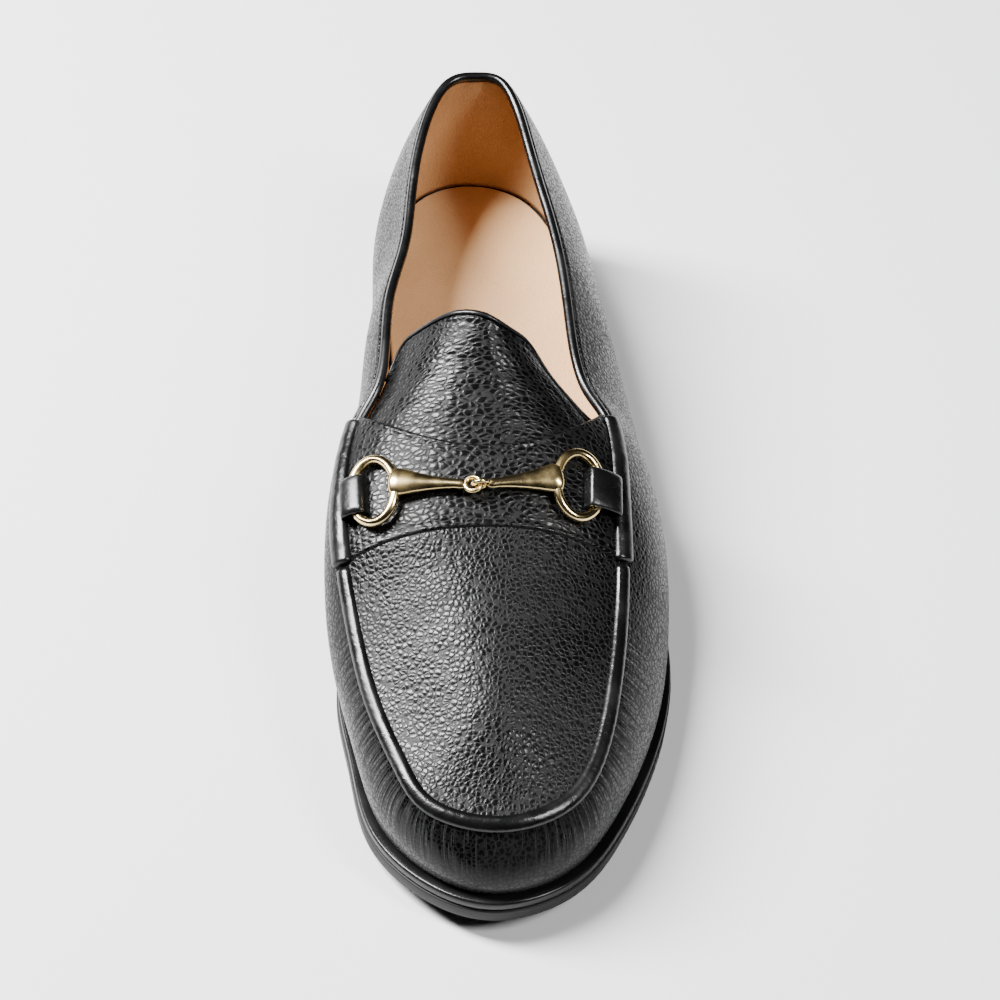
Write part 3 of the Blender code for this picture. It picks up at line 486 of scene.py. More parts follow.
def grainGroup():
    # tumbled grain: rounded cells parted by creases, warped by noise, over a finer grain
    group, given, out = nodeGroup("tumbledGrain", [
        ("Vector", "NodeSocketVector", None), ("Size", "NodeSocketFloat", 2.0),
        ("Warp", "NodeSocketFloat", 0.5), ("Fine", "NodeSocketFloat", 0.2)],
        [("Height", "NodeSocketFloat"), ("Crease", "NodeSocketFloat")])
    rate = mathNode(group, "DIVIDE", 1000.0, given.outputs["Size"])
    scaled = addNode(group, "VectorMath", {"operation": "SCALE"},
                     Vector=given.outputs["Vector"], Scale=rate)
    noise = addNode(group, "TexNoise", Vector=scaled.outputs[0], Scale=0.7, Detail=3.0)
    centred = addNode(group, "VectorMath", {"operation": "SUBTRACT"})
    put(group, noise.outputs["Color"], centred.inputs[0])
    centred.inputs[1].default_value = (0.5, 0.5, 0.5)
    pushed = addNode(group, "VectorMath", {"operation": "MULTIPLY_ADD"})
    for k, value in enumerate((centred.outputs[0], given.outputs["Warp"], scaled.outputs[0])):
        put(group, value, pushed.inputs[k])
    cells = addNode(group, "TexVoronoi", {"feature": "DISTANCE_TO_EDGE"},
                    Vector=pushed.outputs[0], Scale=1.0)
    domes = addNode(group, "TexVoronoi", {"feature": "SMOOTH_F1"}, Vector=pushed.outputs[0], Scale=1.0,
                    Smoothness=0.30)
    fine = addNode(group, "TexNoise", Vector=pushed.outputs[0], Scale=5.0, Detail=3.0)
    valley = mapRange(group, cells.outputs["Distance"], 0.0, 0.22)
    dome = mathNode(group, "SUBTRACT", 1.0, domes.outputs["Distance"])
    height = timesPlus(group, valley, 0.45, times(group, dome, 1.1))
    height = timesPlus(group, fine.outputs["Fac"], given.outputs["Fine"], height)
    put(group, height, out.inputs["Height"])
    put(group, mathNode(group, "SUBTRACT", 1.0, valley), out.inputs["Crease"])
    return group


def wearGroup():
    # broad soft patches that vary colour and gloss
    group, given, out = nodeGroup("softPatches", [
        ("Vector", "NodeSocketVector", None), ("Scale", "NodeSocketFloat", 20.0),
        ("Low", "NodeSocketFloat", 0.4), ("High", "NodeSocketFloat", 0.6)],
        [("Value", "NodeSocketFloat")])
    noise = addNode(group, "TexNoise", Vector=given.outputs["Vector"], Scale=given.outputs["Scale"],
                    Detail=4.0)
    put(group, mapRange(group, noise.outputs["Fac"], given.outputs["Low"], given.outputs["High"]),
        out.inputs["Value"])
    return group


grain = grainGroup()
patches = wearGroup()


def placed(tree, group, **values):
    node = tree.nodes.new("ShaderNodeGroup")
    node.node_tree = group
    for key, value in values.items():
        put(tree, value, node.inputs[key])
    return node


def patchMask(tree, place, scale, low, high):
    return placed(tree, patches, Vector=place, Scale=scale, Low=low, High=high).outputs["Value"]


def startMaterial(name, **fixed):
    material = bpy.data.materials.new(name)
    material.use_nodes = True
    tree = material.node_tree
    shader = tree.nodes["Principled BSDF"]
    for key, value in fixed.items():
        shader.inputs[key.replace("_", " ")].default_value = value
    place = tree.nodes.new("ShaderNodeTexCoord").outputs["Object"]
    return material, tree, shader, place


def mixColour(tree, factor, a, b):
    node = addNode(tree, "Mix", {"data_type": "RGBA"})
    put(tree, factor, node.inputs["Factor"])
    put(tree, a, node.inputs[6])
    put(tree, b, node.inputs[7])
    return node.outputs[2]


def bump(tree, height, depth, strength=1.0, after=None):
    node = addNode(tree, "Bump", Height=height, Distance=depth, Strength=strength)
    if after is not None:
        put(tree, after, node.inputs["Normal"])
    return node.outputs["Normal"]


# the darkest colour here is painted shade for the grain's creases
leather = {"size": 1.6, "depth": 0.105 * mm, "roughness": (0.20, 0.28),
           "colour": (0.0008, 0.0008, 0.0009, 1), "paintedCreaseShade": (0.0007, 0.0007, 0.0007, 1),
           "wornColour": (0.0018, 0.0018, 0.0019, 1)}


def pebbledLeather(name, stretch=(1, 1, 1), size=1.0, depth=1.0, pleats=False):
    material, tree, shader, place = startMaterial(name, Specular_IOR_Level=0.17, Coat_Weight=0.0,
                                                  Coat_Roughness=0.22)
    mapping = addNode(tree, "Mapping", Vector=place)
    mapping.inputs["Scale"].default_value = stretch
    cells = placed(tree, grain, Vector=mapping.outputs[0], Size=leather["size"] * size, Warp=0.75,
                   Fine=0.03)
    worn = patchMask(tree, place, 24.0, 0.42, 0.68)
    colour = mixColour(tree, worn, leather["colour"], leather["wornColour"])
    # painted shade: the base colour is darkened along the grain's creases
    colour = mixColour(tree, times(tree, cells.outputs["Crease"], 0.7), colour, leather["paintedCreaseShade"])
    put(tree, colour, shader.inputs["Base Color"])
    low, high = leather["roughness"]
    rough = mapRange(tree, worn, 0.0, 1.0, low, high)
    put(tree, timesPlus(tree, cells.outputs["Crease"], 0.32, rough), shader.inputs["Roughness"])
    height = cells.outputs["Height"]
    if pleats:
        # fine upright pleats that fan down the toe wall from the seam, and less grain there
        flat = addNode(tree, "UVMap", {"uv_map": "lie"}).outputs["UV"]
        parts = addNode(tree, "SeparateXYZ", Vector=flat)
        spots = addNode(tree, "SeparateXYZ", Vector=place)
        toe = mapRange(tree, spots.outputs["Y"], -0.050, -0.105)
        below = mapRange(tree, parts.outputs["Y"], 0.0200, 0.0020)
        wall = mathNode(tree, "GREATER_THAN", parts.outputs["Y"], 0.0)
        zone = times(tree, times(tree, toe, below), wall)
        run = addNode(tree, "Mapping", Vector=flat)
        run.inputs["Scale"].default_value = (560, 44, 1)
        wave = addNode(tree, "TexNoise", Vector=run.outputs[0], Scale=1.0, Detail=2.0)
        folds = mapRange(tree, wave.outputs["Fac"], 0.35, 0.65)
        smoother = mathNode(tree, "SUBTRACT", 1.0, times(tree, times(tree, toe, wall), 0.80))
        height = times(tree, height, smoother)
        height = timesPlus(tree, times(tree, folds, zone), 5.0, height)
    put(tree, bump(tree, height, leather["depth"] * depth), shader.inputs["Normal"])
    return material


def smoothLeather(name, wrinkle=1.0, roughness=(0.20, 0.32)):
    # glazed leather with fine creases across and small scuffs
    material, tree, shader, place = startMaterial(name, Specular_IOR_Level=0.22, Coat_Weight=0.12,
                                                  Coat_Roughness=0.16)
    worn = patchMask(tree, place, 60.0, 0.38, 0.70)
    colour = mixColour(tree, worn, (0.0014, 0.0014, 0.0015, 1), (0.0032, 0.0032, 0.0034, 1))
    put(tree, colour, shader.inputs["Base Color"])
    put(tree, mapRange(tree, worn, 0.0, 1.0, *roughness), shader.inputs["Roughness"])
    lines = addNode(tree, "TexNoise", Vector=place, Scale=420.0, Detail=5.0, Distortion=0.6)
    broad = addNode(tree, "TexNoise", Vector=place, Scale=95.0, Detail=2.0)
    height = timesPlus(tree, broad.outputs["Fac"], 2.2, lines.outputs["Fac"])
    put(tree, bump(tree, height, 0.10 * mm * wrinkle), shader.inputs["Normal"])
    return material


def soleLeather(name, colour, brighter, roughness, coat, layerStep=0.0):
    # burnished edge: faint lines that run with the layers and small rubbed marks
    material, tree, shader, place = startMaterial(name, Specular_IOR_Level=0.14, Coat_Weight=coat,
                                                  Coat_Roughness=0.2)
    mapping = addNode(tree, "Mapping", Vector=place)
    mapping.inputs["Scale"].default_value = (60, 60, 1500)
    lines = addNode(tree, "TexNoise", Vector=mapping.outputs[0], Scale=1.0, Detail=4.0)
    worn = patchMask(tree, place, 55.0, 0.40, 0.72)
    specks = addNode(tree, "TexNoise", Vector=place, Scale=900.0, Detail=2.0)
    mixed = timesPlus(tree, lines.outputs["Fac"], 0.35, times(tree, worn, 0.6))
    put(tree, mixColour(tree, mixed, colour, brighter), shader.inputs["Base Color"])
    put(tree, mapRange(tree, mixed, 0.1, 0.9, *roughness), shader.inputs["Roughness"])
    height = timesPlus(tree, specks.outputs["Fac"], 0.6, lines.outputs["Fac"])
    if layerStep:
        parts = addNode(tree, "SeparateXYZ", Vector=place)
        wave = mathNode(tree, "FRACT", mathNode(tree, "DIVIDE", parts.outputs["Z"], layerStep))
        away = mathNode(tree, "ABSOLUTE", mathNode(tree, "SUBTRACT", wave, 0.5))
        groove = mapRange(tree, away, 0.0, 0.06)
        height = timesPlus(tree, groove, 1.4, height)
    put(tree, bump(tree, height, 0.09 * mm), shader.inputs["Normal"])
    return material


def tanLeather(name, colour, toneAndCreaseShade):
    material, tree, shader, place = startMaterial(name, Coat_Weight=0.08, Coat_Roughness=0.35)
    cells = placed(tree, grain, Vector=place, Size=0.9, Warp=0.6, Fine=0.25)
    worn = patchMask(tree, place, 18.0, 0.35, 0.7)
    # the darker colour is partly real tone in random patches and partly painted shade in the grain's
    # creases
    mixed = timesPlus(tree, cells.outputs["Crease"], 0.35, times(tree, worn, 0.65))
    put(tree, mixColour(tree, mixed, colour, toneAndCreaseShade), shader.inputs["Base Color"])
    put(tree, mapRange(tree, worn, 0.0, 1.0, 0.42, 0.58), shader.inputs["Roughness"])
    put(tree, bump(tree, cells.outputs["Height"], 0.06 * mm), shader.inputs["Normal"])
    return material


def goldMetal(name):
    # champagne plating: almost clean gloss with a faint brushed cloud
    material, tree, shader, place = startMaterial(name, Metallic=1.0)
    worn = patchMask(tree, place, 130.0, 0.35, 0.75)
    hair = addNode(tree, "TexNoise", Vector=place, Scale=700.0, Detail=4.0)
    put(tree, mixColour(tree, worn, (0.80, 0.62, 0.31, 1), (0.60, 0.44, 0.19, 1)),
        shader.inputs["Base Color"])
    put(tree, mapRange(tree, worn, 0.0, 1.0, 0.16, 0.27), shader.inputs["Roughness"])
    put(tree, bump(tree, hair.outputs["Fac"], 0.012 * mm), shader.inputs["Normal"])
    return material


upperLeather = pebbledLeather("pebbled leather", pleats=True)
tongueLeather = pebbledLeather("tongue leather", stretch=(0.60, 1.20, 1.0), size=1.15, depth=1.2)
strapLeather = pebbledLeather("strap leather", stretch=(0.75, 1.15, 1.0), size=1.25, depth=1.25)
pipingLeather = smoothLeather("piping leather", wrinkle=1.4, roughness=(0.24, 0.36))
rollLeather = smoothLeather("roll leather", wrinkle=1.8, roughness=(0.27, 0.38))
bindingLeather = smoothLeather("collar leather", wrinkle=0.8, roughness=(0.24, 0.36))
threadMaterial = smoothLeather("black thread", wrinkle=0.6, roughness=(0.28, 0.38))
soleEdgeLeather = soleLeather("sole edge", (0.0060, 0.0058, 0.0056, 1), (0.0120, 0.0115, 0.0110, 1),
                              (0.48, 0.62), 0.0)
weltLeather = soleLeather("welt leather", (0.0025, 0.0025, 0.0026, 1), (0.0048, 0.0048, 0.005, 1),
                          (0.24, 0.36), 0.06)
heelLeather = soleLeather("stacked heel", (0.0045, 0.0045, 0.0047, 1), (0.0105, 0.0105, 0.0108, 1),
                          (0.36, 0.50), 0.02, 4.6 * mm)
rubber = soleLeather("top lift rubber", (0.0090, 0.0090, 0.0092, 1), (0.0165, 0.0165, 0.0170, 1),
                     (0.55, 0.72), 0.0)
liningLeather = tanLeather("tan lining", (0.50, 0.29, 0.135, 1), (0.36, 0.19, 0.080, 1))
sockLeather = tanLeather("tan sock", (0.58, 0.36, 0.18, 1), (0.44, 0.25, 0.115, 1))
gold = goldMetal("champagne gold")
print("materials made")

# places along the shoe
places = {"strapTopRoll": 0.488, "strapFootRoll": 0.656, "strapTopCentre": 0.559, "strapFootCentre": 0.647,
          "throat": 0.615, "ring": 0.596, "bitCentre": 0.612, "heelBreast": 0.25, "strapFlare": 2.1,
          "endGap": 0.0025, "collarEase": 0.012}
tongueTop = {"across": (-1.00, -0.92, -0.72, -0.45, -0.10, 0.35, 0.54, 0.65, 0.76, 1.00),
             "along":  (0.466, 0.426, 0.406, 0.416, 0.430, 0.435, 0.440, 0.462, 0.484, 0.490)}

# sole
soleLook = {"columns": 420, "edgeRound": 0.45 * mm, "heelInset": 0.5 * mm, "heelTaper": 1.5 * mm,
            "weltInset": 0.4 * mm, "rimRound": 0.9 * mm, "liftRound": 0.5 * mm, "heelWaist": 0.5 * mm}


def roundedStack(ways, low, high, inset, soft, steps=5):
    # plan loops from low to high whose two edges are rounded by a quarter circle each
    turn = np.linspace(0, math.pi / 2, steps)
    sides, ends = soft * (1 - np.sin(turn)), soft * (1 - np.cos(turn))
    loops = [withHeight(solePlan(ways, inset + side), low + end) for side, end in zip(sides, ends)]
    loops += [withHeight(solePlan(ways, inset + end), high - side) for side, end in zip(sides, ends)]
    return loops


def makeSole():
    ways = np.arange(soleLook["columns"]) / soleLook["columns"]
    y = soleEdge(ways)[:, 1]
    low = underside(y)
    loops = roundedStack(ways, low, low + layers["outsole"], 0.0, soleLook["edgeRound"])
    solid("soleLayer", stack(loops), soleEdgeLeather, "outsole")
    base = low + layers["outsole"] + layers["gap"] * 0.5
    top = low + layers["outsole"] + layers["gap"] + layers["welt"]
    outer = roundedStack(ways, base, top, soleLook["weltInset"], soleLook["rimRound"])
    inner = solePlan(ways, edgeMargin(ways) + layers["wall"])
    sections = np.stack(outer + [withHeight(inner, top), withHeight(inner, base)], 1)
    solid("weltStrip", tube(sections, True), weltLeather, "welt")
    lowInsole = low + layers["outsole"] + layers["gap"]
    inside = edgeMargin(ways) + layers["wall"] + layers["gap"]
    loops = roundedStack(ways, lowInsole, lowInsole + layers["insole"], inside, soleLook["rimRound"])
    solid("sockLining", stack(loops), sockLeather, "insole")


def makeHeel():
    last = np.interp(places["heelBreast"], roundShoe(outline, "along", "along", denseWays), denseWays)
    lateral = np.linspace(0, last, 90)
    ways = np.concatenate([lateral, 1 - lateral[:0:-1]])
    y = soleEdge(ways)[:, 1]
    top = underside(y) - layers["gap"] * 0.5
    lift = roundedStack(ways, 0 * y, 0 * y + layers["lift"], soleLook["heelTaper"], soleLook["liftRound"])
    solid("topLift", stack(lift), rubber, "heel_top_lift")
    start = layers["lift"] + layers["gap"] * 0.5
    rise = np.linspace(0, 1, 9)
    loops = []
    for share in rise:
        inset = soleLook["heelTaper"] + (soleLook["heelInset"] - soleLook["heelTaper"]) * share
        waist = soleLook["heelWaist"] * math.sin(math.pi * share)
        loops.append(withHeight(solePlan(ways, inset + waist), start + (top - start) * share))
    solid("stackedHeel", stack(loops), heelLeather, "heel_block")


# upper
upperLook = {"columns": 640, "bandRows": 40, "patchRows": 40, "skinThick": 1.3 * mm,
             "liningThick": 0.6 * mm, "liningDepth": 1.36 * mm, "gather": 0.45 * mm,
             "gatherPitch": 3.4 * mm, "gatherReach": 5.0 * mm, "slack": 0.35 * mm, "vampWave": 0.06 * mm}
bindingLook = {"width": 3.2 * mm, "height": 2.6 * mm, "facing": 6 * mm, "facingThick": 0.5 * mm,
               "stitchPitch": 2.2 * mm, "stitchInset": 1.3 * mm}


def rimShare(way):
    # how far up the wall ends: at the seam in front, under the collar bead behind
    length = np.linalg.norm(skin(way, 1.0) - skin(way, 0.95), axis=-1) / 0.05
    behind = np.clip((places["strapTopRoll"] - alongOfLine(way)) / places["collarEase"] + 1, 0, 1)
    return 1 - behind * (bindingLook["height"] + layers["gap"]) / length


def seamLength(way):
    # length run along the top line up to each way, for patterns that follow the seam
    fine = np.linspace(0, 1, 4001)
    points = topLine(fine)
    run = np.concatenate([[0], np.cumsum(np.linalg.norm(np.diff(points, axis=0), axis=-1))])
    return np.interp(np.mod(way, 1.0), fine, run)


def wallRelief(way, q, distance):
    # gathers under the seam round the toe, a slack fold or two over the ball and soft hollows
    run = seamLength(way)
    toe = smooth(0.66, 0.80, alongOfLine(way))
    below = np.where(distance > 0, np.exp(-(distance / upperLook["gatherReach"]) ** 2), 0)
    pull = np.sin(2 * math.pi * run / upperLook["gatherPitch"] + 0.7 * wavy(run * 300, 3))
    relief = upperLook["gather"] * toe * below * (0.35 + 0.65 * pull) * (0.8 + 0.2 * wavy(run * 90, 5))
    slack = smooth(0.30, 0.42, alongOfLine(way)) * (1 - smooth(0.62, 0.72, alongOfLine(way)))
    fold = wavy(run * 34 + distance * 60, 11) * smooth(0.05, 0.35, q) * (1 - smooth(0.75, 1.0, q))
    return relief + upperLook["slack"] * slack * fold


def patchRelief(way, w):
    # the apron: faint waves across the vamp where it bends
    point = patch(way, w)
    along = -point[..., 1] / shoe["soleLength"]
    zone = smooth(0.64, 0.70, along) * (1 - smooth(0.80, 0.90, along)) * smooth(0.15, 0.5, w)
    return upperLook["vampWave"] * zone * wavy(along * 60 + point[..., 0] * 70, 21)


def makeUpper():
    n = upperLook["columns"]
    ways = np.arange(n) / n
    first = int(round(float(wayAt(places["throat"], 1)) * n))
    rows = np.linspace(0, 1, upperLook["bandRows"] + 1)
    grid = np.broadcast_to(ways, (len(rows), n))
    q = rows[:, None] * rimShare(ways)[None]
    wall = skin(grid, q)
    step = np.linalg.norm(np.diff(wall, axis=0), axis=-1)
    down = np.concatenate([np.cumsum(step[::-1], axis=0)[::-1], np.zeros((1, n))])
    run = np.broadcast_to(seamLength(ways), q.shape)
    wall = raised(grid, q, wallRelief(grid, q, down))
    front = np.arange(first, n - first + 1)
    shares = np.linspace(0, 1, upperLook["patchRows"] + 1)[1:]
    fanWays = np.broadcast_to(front / n, (len(shares), len(front)))
    fanShare = np.broadcast_to(shares[:, None], fanWays.shape)
    apron = raised(fanWays, 1 + fanShare, patchRelief(fanWays, fanShare))
    half = len(front) // 2 + 1
    apron[-1, half:] = apron[-1, :half - 1][::-1]
    verts = np.concatenate([wall.reshape(-1, 3), apron.reshape(-1, 3)])
    lieWall = np.stack([run, down], -1).reshape(-1, 2)
    # on the apron the second measure runs below zero, which tells it from the wall
    lieApron = np.stack([np.broadcast_to(seamLength(front / n), fanWays.shape), -0.03 * fanShare], -1)
    lieApron = lieApron.reshape(-1, 2)
    index = np.arange(wall.shape[0] * n).reshape(wall.shape[0], n)
    over = np.concatenate([index[-1][front][None],
                           index.size + np.arange(apron.shape[0] * len(front)).reshape(apron.shape[0], -1)])
    over[-1, half:] = over[-1, :half - 1][::-1]
    faces = list(map(tuple, gridFaces(wall.shape[0], n, closeColumns=True)))
    quads = np.stack([over[:-1, :-1], over[:-1, 1:], over[1:, 1:], over[1:, :-1]], -1).reshape(-1, 4)
    faces += [tuple(dict.fromkeys(map(int, f))) for f in quads]
    lie = np.concatenate([lieWall, lieApron])
    outer = newPiece("upperLeather", verts, faces, upperLeather, lie=lie, nodes=["upper"])
    dropLoose(outer)
    thicken(outer, upperLook["skinThick"])
    inside = np.concatenate([raised(a, b, -upperLook["liningDepth"]).reshape(-1, 3)
                             for a, b in ((grid, q), (fanWays, 1 + fanShare))])
    lining = newPiece("upperLining", inside, faces, liningLeather)
    dropLoose(lining)
    thicken(lining, upperLook["liningThick"])


def dropLoose(obj):
    work = bmesh.new()
    work.from_mesh(obj.data)
    loose = [v for v in work.verts if not v.link_faces]
    bmesh.ops.delete(work, geom=loose, context="VERTS")
    work.to_mesh(obj.data)
    work.free()


def thicken(obj, thickness):
    # gives a sheet its thickness inwards
    modifier = obj.modifiers.new("thickness", "SOLIDIFY")
    modifier.thickness = thickness
    modifier.offset = -1


# trim on the top line
trimLook = {"seamWidth": 5 * mm, "seamHeight": 2.6 * mm, "rollWidth": 7 * mm, "rollHeight": 3.6 * mm,
            "sides": 18, "step": 0.7 * mm}


def lineFrame(way):
    small = 1e-3
    point = skin(way, 1.0)
    normal = skinNormal(way, 1.0)
    along = skin(way + small, 1.0) - skin(way - small, 1.0)
    along = unit(along)
    inward = np.cross(along, normal)
    return point, normal, unit(inward), along


def beadOnLine(way, width, height, swell, ends=1.6 * mm):
    # a half round bead on the top line; swell is its height factor along the way
    point, normal, inward, _ = lineFrame(way)
    run = seamLength(way)
    reach = np.minimum(run - run[0], run[-1] - run) / ends
    cap = np.sqrt(np.clip(1 - (1 - np.clip(reach, 0, 1)) ** 2, 0.05, 1)) * 0.45 + 0.55
    points = []
    for side in (-0.5, -0.25, 0.0, 0.25, 0.5):
        points.append(raised(way, qAway(way, side * width * cap), 0.1 * mm))
    turn = np.linspace(0.12, math.pi - 0.12, trimLook["sides"] - 5)
    for angle in turn:
        across = np.cos(angle) * 0.52 * width * cap
        lift = (0.22 + 0.78 * np.sin(angle) ** 0.75) * height * swell(run, angle) * cap
        points.append(point + inward * across[:, None] + normal * (layers["gap"] + lift)[:, None])
    return np.stack(points, 1)


def makeSeamBead():
    start = float(wayAt(places["strapFootRoll"] + places["endGap"], 1))
    span = seamLength(np.array([1 - start]))[0] - seamLength(np.array([start]))[0]
    way = np.linspace(start, 1 - start, int(span / trimLook["step"]))

    def swell(run, angle):
        # pinched a little at each stitch on the outer foot, and softly uneven
        pinch = np.sin(2 * math.pi * run / upperLook["gatherPitch"]) * smooth(1.7, 3.0, angle)
        return 1 + 0.05 * pinch + 0.035 * wavy(run * 160, 7)

    bead = beadOnLine(way, trimLook["seamWidth"], trimLook["seamHeight"], swell)
    solid("seamPiping", tube(bead), pipingLeather, "apron_piping")
    # the hand stitches that gather the wall against the bead
    run = seamLength(way)
    spots = np.interp(np.arange(run[0] + 2 * mm, run[-1] - 2 * mm, upperLook["gatherPitch"]), run, way)
    q = qAway(spots, -trimLook["seamWidth"] * 0.5 - 0.9 * mm)
    normal = skinNormal(spots, q)
    _, _, _, along = lineFrame(spots)
    across = np.cross(normal, along)
    lean = along * 0.9 + across * 0.35
    lean = unit(lean)
    addStitches("seamStitches", skin(spots, q) + normal * 0.65 * mm, lean, normal,
                {"long": 2.6 * mm, "thick": 0.95 * mm}, threadMaterial)


def makeRolls():
    for name, side in (("Outer", 1), ("Inner", -1)):
        ends = wayAt(np.array([places["strapTopRoll"], places["strapFootRoll"]]), side)
        way = np.linspace(ends.min(), ends.max(), 110)

        def swell(run, angle, side=side):
            return 1 + 0.04 * wavy(run * 160 + 2.0 * side, 31) + 0.02 * wavy(run * 520, 33) * np.sin(angle)

        bead = beadOnLine(way, trimLook["rollWidth"], trimLook["rollHeight"], swell, 1.2 * mm)
        solid("roll" + name, tube(bead), rollLeather, "side_roll_" + ("lateral" if side > 0 else "medial"))


def makeCollar():
    start = float(wayAt(places["strapTopRoll"] - places["endGap"], 1))
    way = np.linspace(-start, start, 520)
    share = rimShare(way)
    small = 1e-3
    point = skin(way, share)
    up = skin(way, share) - skin(way, share - 0.02)
    up = unit(up)
    along = skin(way + small, share) - skin(way - small, share)
    along = unit(along)
    out = np.cross(along, up)
    out = unit(out)
    out = out * np.sign((out * skinNormal(way, share)).sum(-1, keepdims=True))
    width, height = bindingLook["width"], bindingLook["height"]
    middle = point - out * (layers["wall"] - width / 2)
    points = [middle + out * s * width + up * 0.12 * mm for s in (-0.46, 0.0, 0.46)]
    for angle in np.linspace(0.0, math.pi, 15):
        uneven = 1 + 0.03 * wavy(seamLength(way) * 140, 41)
        rise = (0.30 + 0.70 * np.sin(angle) ** 0.8) * height * uneven
        points.append(middle + out * math.cos(angle) * 0.5 * width + up * (layers["gap"] + rise)[:, None])
    solid("collarBead", tube(np.stack(points, 1)), bindingLeather, "collar_binding")
    # a smooth facing strip under the bead on the outside, with its row of stitches
    depth = bindingLook["facing"]
    slope = np.linalg.norm(skin(way, share) - skin(way, share - 0.02), axis=-1) / 0.02
    run = np.where(way < 0, -seamLength(-way), seamLength(way))
    fade = np.clip((seamLength(np.array([start]))[0] - np.abs(run)) / (3 * mm), 0.2, 1)
    rows = np.linspace(0, 1, 12)
    lift = 0.12 * mm + bindingLook["facingThick"] * np.sqrt(np.clip(1 - (2 * rows - 1) ** 6, 0.0, 1))
    grid = np.broadcast_to(way, (len(rows), len(way)))
    q = share[None] - rows[:, None] * (depth * fade / slope)[None]
    top = raised(grid, q, lift[:, None])
    low = raised(grid, q, 0.06 * mm)
    solid("collarFacing", slab(top, low), bindingLeather)
    spots = np.interp(np.arange(run[0] + 3 * mm, run[-1] - 3 * mm, bindingLook["stitchPitch"]), run, way)
    at = np.interp(spots, way, share) - (depth - bindingLook["stitchInset"]) / np.interp(spots, way, slope)
    normal = skinNormal(spots, at)
    follow = skin(spots + small, at) - skin(spots - small, at)
    follow = unit(follow)
    addStitches("collarStitches", skin(spots, at) + normal * 0.66 * mm, follow, normal,
                {"long": 1.7 * mm, "thick": 0.42 * mm}, threadMaterial)


# tongue and strap
strapLook = {"thick": 1.8 * mm, "edge": 1.1 * mm, "across": 150, "rows": 60, "groove": 0.22 * mm,
             "grooveInset": 2.6 * mm, "swell": 0.18 * mm}
tongueLook = {"thick": 2.2 * mm, "gap": 0.5 * mm, "tuck": 0.022, "sideTuck": 5 * mm, "across": 110,
              "rows": 80, "beadWidth": 2.8 * mm, "beadHeight": 1.2 * mm, "groove": 0.30 * mm,
              "grooveInset": 2.6 * mm, "crease": 0.25 * mm}


def overGrid(across, top, foot, rows, edge):
    # columns run from the inner edge over the ridge to the outer edge
    t = np.linspace(-1, 1, across + 1)
    share = np.linspace(0, 1, rows + 1)
    along = top(t)[None] + (foot(t) - top(t))[None] * share[:, None]
    way = wayAt(along, np.where(t >= 0, 1, -1)[None] * np.ones_like(along))
    return way, 2 - np.abs(t)[None] * (2 - edge(way))


def edgeDistance(points):
    # distance over the surface from each point of a grid to its nearest rim
    down = np.concatenate([np.zeros((1, points.shape[1])),
                           np.cumsum(np.linalg.norm(np.diff(points, axis=0), axis=-1), axis=0)])
    side = np.concatenate([np.zeros((points.shape[0], 1)),
                           np.cumsum(np.linalg.norm(np.diff(points, axis=1), axis=-1), axis=1)], 1)
    return down, down[-1:] - down, side, side[:, -1:] - side


def makeTongue():
    def top(t):
        return openCurve(tongueTop["across"], tongueTop["along"], t)[0]

    def foot(t):
        return places["throat"] + tongueLook["tuck"] + 0 * t

    def edge(way):
        return qAway(way, -tongueLook["sideTuck"])

    way, q = overGrid(tongueLook["across"], top, foot, tongueLook["rows"], edge)
    depth = layers["wall"] + tongueLook["gap"]
    base = raised(way, q, -depth - tongueLook["thick"])
    head, _, left, right = edgeDistance(base)
    near = np.minimum(np.minimum(left, right), head)
    crown = np.sqrt(np.clip(1 - (1 - np.clip(near / (1.0 * mm), 0, 1)) ** 2, 0, 1))
    crease = tongueLook["crease"] * wavy(head * 260 + left * 30, 51) * smooth(4 * mm, 12 * mm, near)
    channel = -tongueLook["groove"] * np.exp(-((head - tongueLook["grooveInset"]) / (0.6 * mm)) ** 2)
    rise = np.minimum(crease, 0.1 * mm) + channel - tongueLook["thick"] * 0.5 * (1 - crown)
    face = raised(way, q, rise - depth)
    middle = raised(way, q, -depth - tongueLook["thick"] * 0.62)
    solid("tongueLeather", slab(face, middle), tongueLeather, "tongue")
    liningTop = raised(way, q, -depth - tongueLook["thick"] * 0.64)
    solid("tongueLining", slab(liningTop, base), liningLeather)
    centre = (raised(way[0], q[0], -depth) + base[0]) / 2
    second = (raised(way[1], q[1], -depth) + base[1]) / 2
    normal = skinNormal(way[0], q[0])
    along = np.gradient(centre, axis=0)
    along = unit(along)
    away = centre - second
    away = away - along * (away * along).sum(-1, keepdims=True)
    away = away - normal * (away * normal).sum(-1, keepdims=True)
    away = unit(away)
    keep = slice(3, len(centre) - 3)
    points = []
    for angle in np.linspace(0, 2 * math.pi, 18, endpoint=False):
        lift = max(math.sin(angle), -0.35) * tongueLook["beadHeight"]
        points.append((centre + normal * math.cos(angle) * tongueLook["beadWidth"] / 2
                       + away * (0.12 * mm + lift))[keep])
    solid("tongueEdge", tube(np.stack(points, 1)), bindingLeather, "tongue_binding")


